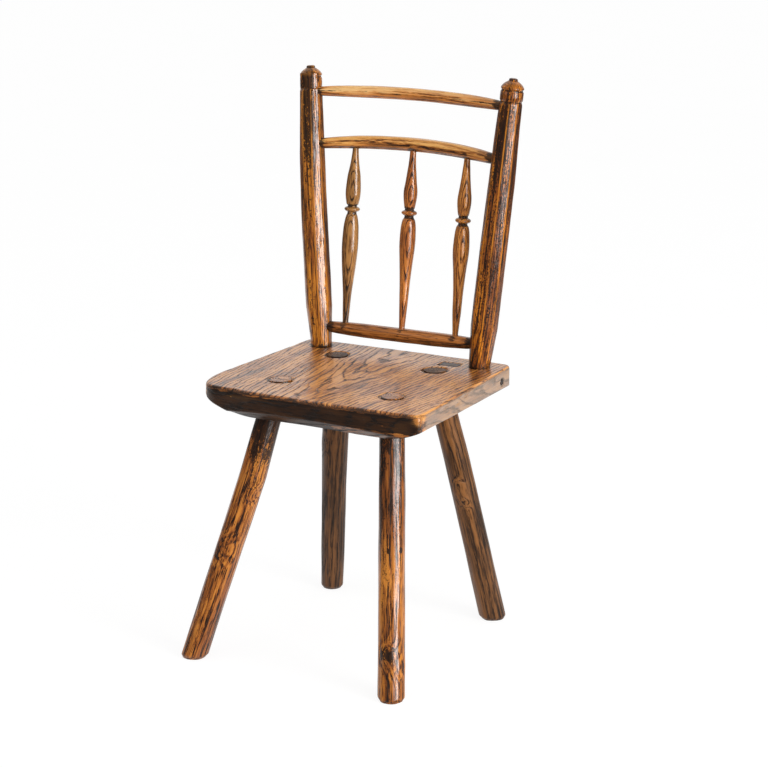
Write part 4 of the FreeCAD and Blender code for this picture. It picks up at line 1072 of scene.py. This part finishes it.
def make_peg(side):
    seed = PEG_SEEDS[side]
    outward = -1 if side == "left" else 1
    axis = post_axis(side, SEAT_TOP - PEG_DROP)
    base = Vector((axis.x - outward * PEG_REACH, axis.y, axis.z))
    length = abs(seat_side_x(side, axis.y) - outward * 0.0008 - (axis.x - outward * PEG_REACH))

    def radius(height, angles):
        around = PEG_DIAMETER / 2 + shaving(angles, height, 30, PEG_SHAVING, seed)
        return around - 0.0006 * smooth(length - 0.0012, length, height)

    lattice = turned(between([0.0, length - 0.002, length - 0.0008, length], 0.004), radius, 32, 5)
    points, faces = closed_lattice(lattice)
    points[:, 2] += 0.0004 * unevenness(points, (350, 350, 0), seed) * (points[:, 2] > length - 0.0005)
    points[:, 2] = np.minimum(points[:, 2], length + 0.0004)
    world = place_points(leaning(base, base + Vector((outward, 0, 0))), points)
    add_piece(f"seat_peg_{side}", world, faces, points, {"soot": 0.55},
              {**PEG_LOOKS, "seed": seed})


def from_peg(side, points):
    """Distance of points from the line of a side's peg."""
    axis = post_axis(side, SEAT_TOP - PEG_DROP)
    return away_from(points[:, 1], points[:, 2], (axis.y, axis.z))


# Seat

def arc_points(first, last, radius, count):
    """Points of an arc that bulges to the right of the way from first to last, without its last."""
    first = np.array(first, float)
    last = np.array(last, float)
    chord = last - first
    reach = np.linalg.norm(chord)
    left = np.array([-chord[1], chord[0]]) / reach
    rise = math.sqrt(radius ** 2 - (reach / 2) ** 2)
    centre = (first + last) / 2 + left * rise
    start = math.atan2(*(first - centre)[::-1])
    stop = math.atan2(*(last - centre)[::-1])
    sweep = (stop - start) % (2 * math.pi)
    turns = start + sweep * np.arange(count) / count
    return centre + radius * np.stack([np.cos(turns), np.sin(turns)], -1)


def seat_outline(count):
    """Points round the seat, evenly spaced, with rounded corners."""
    line = np.vstack([arc_points(SEAT_CORNERS[a], SEAT_CORNERS[b], radius, 300)
                      for a, b, radius in SEAT_EDGES])
    for corner, radius in SEAT_CORNER_RADII.items():
        tip = np.array(SEAT_CORNERS[corner])
        away = np.linalg.norm(line - tip, axis=1)
        roll = len(line) // 2 - int(np.argmin(away))
        line = np.roll(line, roll, axis=0)
        inside = np.nonzero(np.roll(away, roll) < radius * 0.95)[0]
        share = np.linspace(0, 1, 60)[:, None]
        curve = (line[inside[0]] * (1 - share) ** 2 + tip * 2 * share * (1 - share)
                 + line[inside[-1]] * share ** 2)
        line = np.vstack([line[:inside[0]], curve, line[inside[-1] + 1:]])
    closed = np.vstack([line, line[:1]])
    travelled = np.concatenate([[0], np.cumsum(np.linalg.norm(np.diff(closed, axis=0), axis=1))])
    wanted = np.arange(count) * travelled[-1] / count
    return np.stack([np.interp(wanted, travelled, closed[:, axis]) for axis in (0, 1)], -1)


def seat_side_x(side, y):
    """X of the seat's side edge at a depth y behind the middle."""
    front = SEAT_CORNERS["widest_left" if side == "left" else "front_right"]
    back = SEAT_CORNERS[f"back_{side}"]
    share = (y - front[1]) / (back[1] - front[1])
    straight = front[0] + (back[0] - front[0]) * share
    if side == "left":
        return straight
    half = math.dist(front, back) / 2
    rise = math.sqrt(RIGHT_RADIUS ** 2 - (half * (2 * share - 1)) ** 2)
    return straight + rise - math.sqrt(RIGHT_RADIUS ** 2 - half ** 2)


def sweep_rise(x, width, rise, radius, edge):
    """How far the underside has risen over its middle at x, in a swept side."""
    side = -1 if edge < 0 else 1
    out = np.clip((x - (edge - side * width)) * side, 0, width)
    reach = math.hypot(width, rise)
    depth = math.sqrt(radius ** 2 - (reach / 2) ** 2)
    centre = (width / 2 - rise / reach * depth, rise / 2 + width / reach * depth)
    return np.maximum(centre[1] - np.sqrt(np.maximum(radius ** 2 - (out - centre[0]) ** 2, 0)), 0)


def underside(x, y):
    """Height of the seat's underside below its top."""
    left, right = (sweep_rise(x, **sweep) for sweep in SWEEPS)
    bevel = np.clip((FRONT_LINE + FRONT_BEVEL_DEPTH - y) / FRONT_BEVEL_DEPTH, 0, 1) * FRONT_BEVEL_HEIGHT
    return -SEAT_THICKNESS + np.maximum(np.maximum(left, right), bevel)


def patch_gap(x, y):
    """Distance outside the patch's edge, negative on the patch."""
    turn = math.radians(PATCH["angle"])
    x = x - PATCH["centre"][0]
    y = y - PATCH["centre"][1]
    along = np.abs(x * math.cos(turn) + y * math.sin(turn))
    across = np.abs(y * math.cos(turn) - x * math.sin(turn))
    return np.maximum(along - PATCH["length"] / 2, across - PATCH["width"] / 2)


def scars(points):
    """How deep each scar is, and how much of it is at each point."""
    for place, size, depth in SEAT_SCARS:
        away = np.linalg.norm((points - np.array(place)) / SCAR_STRETCH, axis=1)
        yield depth, bell(away, 0, size)


def seat_top_height(x, y, from_edge):
    """Height of the seat's worn top over its level, at places and their distances from the edge."""
    spots = np.column_stack([x, y, 0 * x])
    rim = (RIM_RADIUS + FRONT_RIM_MORE * smooth(*Y_ZONES["front_rim"], y)
           + CORNER_RIM_MORE * bell(away_from(x, y, ROUNDED_CORNER), 0, 0.022))
    rim = rim * (1 + 0.45 * unevenness(spots, (38, 38, 0), 1.5))
    depth = np.clip(rim - from_edge, 0, rim)
    height = np.sqrt(np.maximum(rim ** 2 - depth ** 2, 0)) - rim
    height -= 0.0007 * bell(x, 0, 0.12) * bell(y, -0.01, 0.10)
    height += 0.00045 * unevenness(spots, (14, 7, 0), 4.2) - 0.0003
    # A hollow round each tenon and under the patch
    ragged = 0.0194 + 0.0016 * unevenness(spots, (70, 70, 0), 8.0)
    for facts in LEGS.values():
        height -= 0.0020 * smooth(ragged + 0.0035, ragged, away_from(x, y, facts["head"]))
    height -= 0.0016 * (patch_gap(x, y) < 0.0012)
    return np.minimum(height, 0.0)


def seat_lattice():
    """Rings of the seat: from the middle of the top out to its edge, down the wall and in below."""
    outline = seat_outline(SEAT_COLUMNS)
    inward = SEAT_CENTRE - outline
    reach = np.linalg.norm(inward, axis=1)
    inward = inward / reach[:, None]
    last = RIM_STEPS[-1]
    from_edge = [last + (reach - last) * index / (TOP_RINGS + 1) for index in range(TOP_RINGS, 0, -1)]
    from_edge += [np.full(SEAT_COLUMNS, step) for step in reversed(RIM_STEPS)]
    rings = []
    for distance in from_edge:
        x, y = (outline + inward * distance[:, None]).T
        rings.append(np.column_stack([x, y, SEAT_TOP + seat_top_height(x, y, distance)]))
    edge = rings[-1][:, 2] - SEAT_TOP
    bottom = underside(*outline.T)
    for index in range(1, WALL_RINGS + 1):
        share = index / WALL_RINGS
        turn_in = 1 - math.sqrt(max(0.0, 1 - max(0.0, (share - 0.93) / 0.07) ** 2))
        rings.append(np.column_stack([outline + inward * UNDER_EDGE_RADIUS * turn_in,
                                      SEAT_TOP + edge + (bottom - edge) * share]))
    for index in range(1, UNDER_RINGS + 1):
        distance = UNDER_EDGE_RADIUS + (reach - UNDER_EDGE_RADIUS) * index / (UNDER_RINGS + 1)
        x, y = (outline + inward * distance[:, None]).T
        rings.append(np.column_stack([x, y, SEAT_TOP + underside(x, y)]))
    return np.array(rings)


def hewn(points):
    """The seat's points with small hollows and gouges that push its sides inward."""
    inward = np.column_stack([SEAT_CENTRE - points[:, :2], np.zeros(len(points))])
    out = np.linalg.norm(inward, axis=1)
    inward /= np.maximum(out, 1e-6)[:, None]
    # Hollows are deepest at the far corners and fade towards the middle of the underside
    on_side = smooth(0.0, 0.0015, SEAT_TOP - points[:, 2]) * smooth(0.90, 0.97, out / (out + 0.01))
    dent = np.clip(0.0005 + 0.0007 * unevenness(points, (26, 26, 60), 6.6), 0, None) * on_side
    for depth, share in scars(points):
        dent += depth * share
    for side, outward in (("left", -1), ("right", 1)):
        dent += 0.0018 * smooth(0.0068, 0.0060, from_peg(side, points)) * (points[:, 0] * outward > 0.15)
    return points + inward * dent[:, None]


def seat_marks(points):
    """Dark, worn, deeply toned and sheened places of the seat, with painted shade and a painted sheen among
    them.
    """
    x, y, z = points.T
    depth = {key: smooth(*zone, SEAT_TOP - z) for key, zone in DEPTH_ZONES.items()}
    side = {key: smooth(*zone, x) for key, zone in X_ZONES.items()}
    back = {key: smooth(*zone, y) for key, zone in Y_ZONES.items()}
    on_top = depth["top"]
    off_top = 1 - on_top
    # The front is dark below a ragged line, except on the bevel's right part and past a curve at the right
    ragged = SEAT_TOP - z + 0.0022 * unevenness(points, (60, 0, 60), 9.1)
    front = back["front_face"] * off_top * smooth(*DEPTH_ZONES["dark_front"], ragged)
    front = front * (1 - 0.80 * depth["bevel"] * side["bevel_wear"])
    front = front * smooth(*X_ZONES["front_end"], x + 30.0 * (SEAT_TOP - z - 0.016) ** 2)
    # The lower part of the front right corner is darker and deeper toned as painted shade
    corner_shade = depth["corner_shade"] * side["right_end"] * back["corner"]
    # The right side is greyer and lighter as a painted sheen, and deeper toned
    right_side = off_top * side["right_side"] * back["right_side"]
    worn_corner = bell(away_from(x, y, WORN_CORNER), 0, 0.011) * depth["worn_corner"]
    # Dark rings round the tenons, wider and darker at their front, are painted shade in the hollow round each
    # tenon
    rim = 0.0200 + 0.0018 * unevenness(points, (70, 70, 0), 8.0)
    rings = 0
    for facts in LEGS.values():
        nearer = 0.5 + 0.5 * np.clip((facts["head"][1] - y) / 0.02, -1, 1)
        ring = bell(away_from(x, y, facts["head"]), rim, 0.0016 + 0.0014 * nearer)
        rings = rings + (0.6 + 0.5 * nearer) * ring * on_top
    # A dark ring on the top round each post's foot, painted shade where the post meets the seat
    post_foot_shade = sum(smooth(0.026, 0.018, away_from(x, y, facts["base"])) for facts in POSTS.values())
    at_pegs = sum(smooth(0.0085, 0.0060, from_peg(name, points)) for name in POSTS)
    soot = rings + weighted(SEAT_DIRT_AND_SHADE, {
        "front": front, "low": depth["low"] * (1 - front), "sides": off_top * (1 - front),
        "corner_shade": corner_shade, "post": post_foot_shade * on_top, "peg": at_pegs * off_top,
        "scar": sum(share for deepest, share in scars(points)),
        "patch": bell(patch_gap(x, y), 0.0004, 0.0014) * on_top})
    # Less dark at the worn corner, and darker on the top's left part
    soot = soot * (1 - 0.85 * worn_corner) + LEFT_DARKENING * side["left_darkening"] * on_top
    rim_wear = depth["under_rim"] * (1 - depth["past_rim"]) * back["behind_front"]
    wear = weighted(SEAT_WEAR_AND_SHEEN, {"rim": rim_wear, "corner": worn_corner, "right_side": right_side})
    from_front = y - FRONT_LINE - x ** 2 / (2 * FRONT_RADIUS)
    front_strip = smooth(0.009, 0.002, from_front) * depth["front_strip"] * (1 - worn_corner)
    deep = weighted(SEAT_DEEP, {
        "front": off_top * back["front_tone"], "lowest": depth["lowest"], "right_side": right_side,
        "corner_shade": corner_shade, "front_strip": front_strip, "left": side["left_tone"] * on_top})
    return {"soot": soot, "wear": wear, "deep": deep, "pale": right_side}


def make_seat():
    points, faces = closed_lattice(seat_lattice())
    points = hewn(points)
    x, y, z = points.T
    below = SEAT_TOP - z
    # The grain runs from front to back on top and along the hewn front and sides
    on_front = smooth(*DEPTH_ZONES["front_grain"], below) * smooth(*Y_ZONES["front_tone"], y)
    on_side = smooth(*DEPTH_ZONES["side_grain"], below) * smooth(0.150, 0.165, np.abs(x))
    on_side = on_side * smooth(*Y_ZONES["side_grain"], y)
    grain = np.column_stack([x, -below, y])
    grain = np.where(on_side[:, None] > 0.5, np.column_stack([-1.3 * below, 0 * x, y]), grain)
    grain = np.where(on_front[:, None] > 0.5, np.column_stack([y, -below, x]), grain)
    add_piece("seat", points, [face[::-1] for face in faces], grain, seat_marks(points),
              SEAT_LOOKS)


def make_patch():
    """The small piece let into the seat, with a worn top and soft edges."""
    columns = 96
    outline = soft_oblong(columns, PATCH["length"], PATCH["width"], 14)
    rings = [(1.0, -PATCH["depth"]), (1.0, -0.0012), (0.99, -0.0007), (0.97, -0.0004), (0.94, -0.0002)]
    rings += [(0.94 * (1 - index / 12), -0.0001) for index in range(1, 12)]
    lattice = np.array([np.column_stack([outline * size, np.full(columns, height)])
                        for size, height in rings])
    points, faces = closed_lattice(lattice)
    worn = 0.00035 * unevenness(points, (120, 120, 0), 2.2) - 0.0003
    points[:, 2] += worn * (points[:, 2] > -0.002)
    turn = Matrix.Rotation(math.radians(PATCH["angle"]), 4, "Z")
    world = place_points(Matrix.Translation((*PATCH["centre"], SEAT_TOP)) @ turn, points)
    from_edge = np.minimum(PATCH["length"] / 2 - np.abs(points[:, 0]),
                           PATCH["width"] / 2 - np.abs(points[:, 1]))
    soot = 0.28 + 0.5 * np.clip(1 - from_edge / 0.0012, 0, 1)
    add_piece("seat_patch", world, faces, points[:, [1, 2, 0]], {"soot": soot}, PATCH_LOOKS)


# Floor, light and camera

def mirrored_room(tree, place, start, full, reach):
    """What reflections show: white behind the chair, from start to full, and dark in front and aside.

    Place is a point or a direction, and reach is where the white has ended to both sides."""
    behind = tree.step(tree.dot(place, BACKDROP_DIRECTION), start, full)
    aside = tree.math("ABSOLUTE", tree.dot(place, ASIDE_DIRECTION))
    white = behind * (1.0 - tree.step(aside, reach * FLAG_EDGE, reach))
    return white * BACKDROP_STRENGTH + ROOM_STRENGTH


def rays(tree):
    """1 for what is seen directly, and 1 for what is seen in reflections."""
    path = tree.values("ShaderNodeLightPath")
    return tree.math("MAXIMUM", path["Is Camera Ray"], path["Is Transmission Ray"]), path["Is Glossy Ray"]


def make_stage():
    """White paper under the chair."""
    bpy.ops.mesh.primitive_plane_add(size=60, location=(0, 0, -FLOOR_DROP))
    floor = bpy.context.object
    floor.name = "floor"
    tree = Tree(bpy.data.materials.new("floor_paper"))
    place = tree.value("ShaderNodeTexCoord", None, "Object")
    tone = tree.mix(tree.cloud(place, (3.0, 3.0, 3.0), 2.0, Roughness=0.55), *FLOOR_TONES)
    paper = tree.value("ShaderNodeBsdfDiffuse", {"Color": tone})
    direct, glossy = rays(tree)
    strength = tree.blend(direct, PAPER_STRENGTH, mirrored_room(tree, place, -0.6, 0.2, 2.4))
    white = tree.value("ShaderNodeEmission", {"Color": WHITE, "Strength": strength})
    share = direct * FLOOR_WHITE_SHARE + glossy
    shown = tree.value("ShaderNodeMixShader", {0: share, 1: paper, 2: white})
    tree.node("ShaderNodeOutputMaterial", {"Surface": shown})
    floor.data.materials.append(tree.owner)


def make_world():
    """Even light for surfaces, white to the camera, and in reflections a white backdrop in a dark room."""
    world = bpy.data.worlds.new("studio")
    bpy.context.scene.world = world
    tree = Tree(world)
    direction = tree.value("ShaderNodeTexCoord", None, "Generated")
    direct, glossy = rays(tree)
    lit = tree.step(tree.dot(direction, LIT_DIRECTION), *LIT_SPREAD)
    even = lit * (WORLD_STRENGTH - SHADE_STRENGTH) + SHADE_STRENGTH
    strength = tree.blend(glossy, mirrored_room(tree, direction, 0.0, 0.4, 0.95), even)
    background = tree.value("ShaderNodeBackground",
                            {"Color": WHITE, "Strength": tree.blend(direct, 1.0, strength)})
    tree.node("ShaderNodeOutputWorld", {"Surface": background})


def make_light(name, azimuth, elevation, distance, width, height, power):
    """A soft box that looks at the chair."""
    turn = math.radians(azimuth)
    rise = math.radians(elevation)
    away = Vector((math.sin(turn) * math.cos(rise), -math.cos(turn) * math.cos(rise), math.sin(rise)))
    lamp = bpy.data.lights.new(name, "AREA")
    lamp.shape = "RECTANGLE"
    lamp.size = width
    lamp.size_y = height
    lamp.energy = power
    light = bpy.data.objects.new(name, lamp)
    light.location = LIGHT_TARGET + away * distance
    light.rotation_euler = (-away).to_track_quat("-Z", "Y").to_euler()
    bpy.context.scene.collection.objects.link(light)


def make_camera():
    data = bpy.data.cameras.new("camera")
    data.sensor_width = CAMERA_SENSOR
    data.lens = CAMERA_LENS
    camera = bpy.data.objects.new("camera", data)
    matrix = Matrix.Translation(CAMERA_PLACE)
    for degrees, axis in ((CAMERA_TURN, "Z"), (90 - CAMERA_DROP, "X"), (CAMERA_ROLL, "Z")):
        matrix = matrix @ Matrix.Rotation(math.radians(degrees), 4, axis)
    camera.matrix_world = matrix
    bpy.context.scene.collection.objects.link(camera)
    bpy.context.scene.camera = camera


make_seat()
make_patch()
for leg_name in LEGS:
    make_leg(leg_name)
    make_wedge(leg_name)
for side_name in POSTS:
    make_post(side_name)
    make_peg(side_name)
for rail_name in RAILS:
    make_rail(rail_name)
for spindle_name in SPINDLES:
    make_spindle(spindle_name)
make_stage()
make_world()
for light_name, light_facts in LIGHTS.items():
    make_light(light_name, *light_facts)
make_camera()
bpy.context.scene.view_settings.view_transform = "Standard"
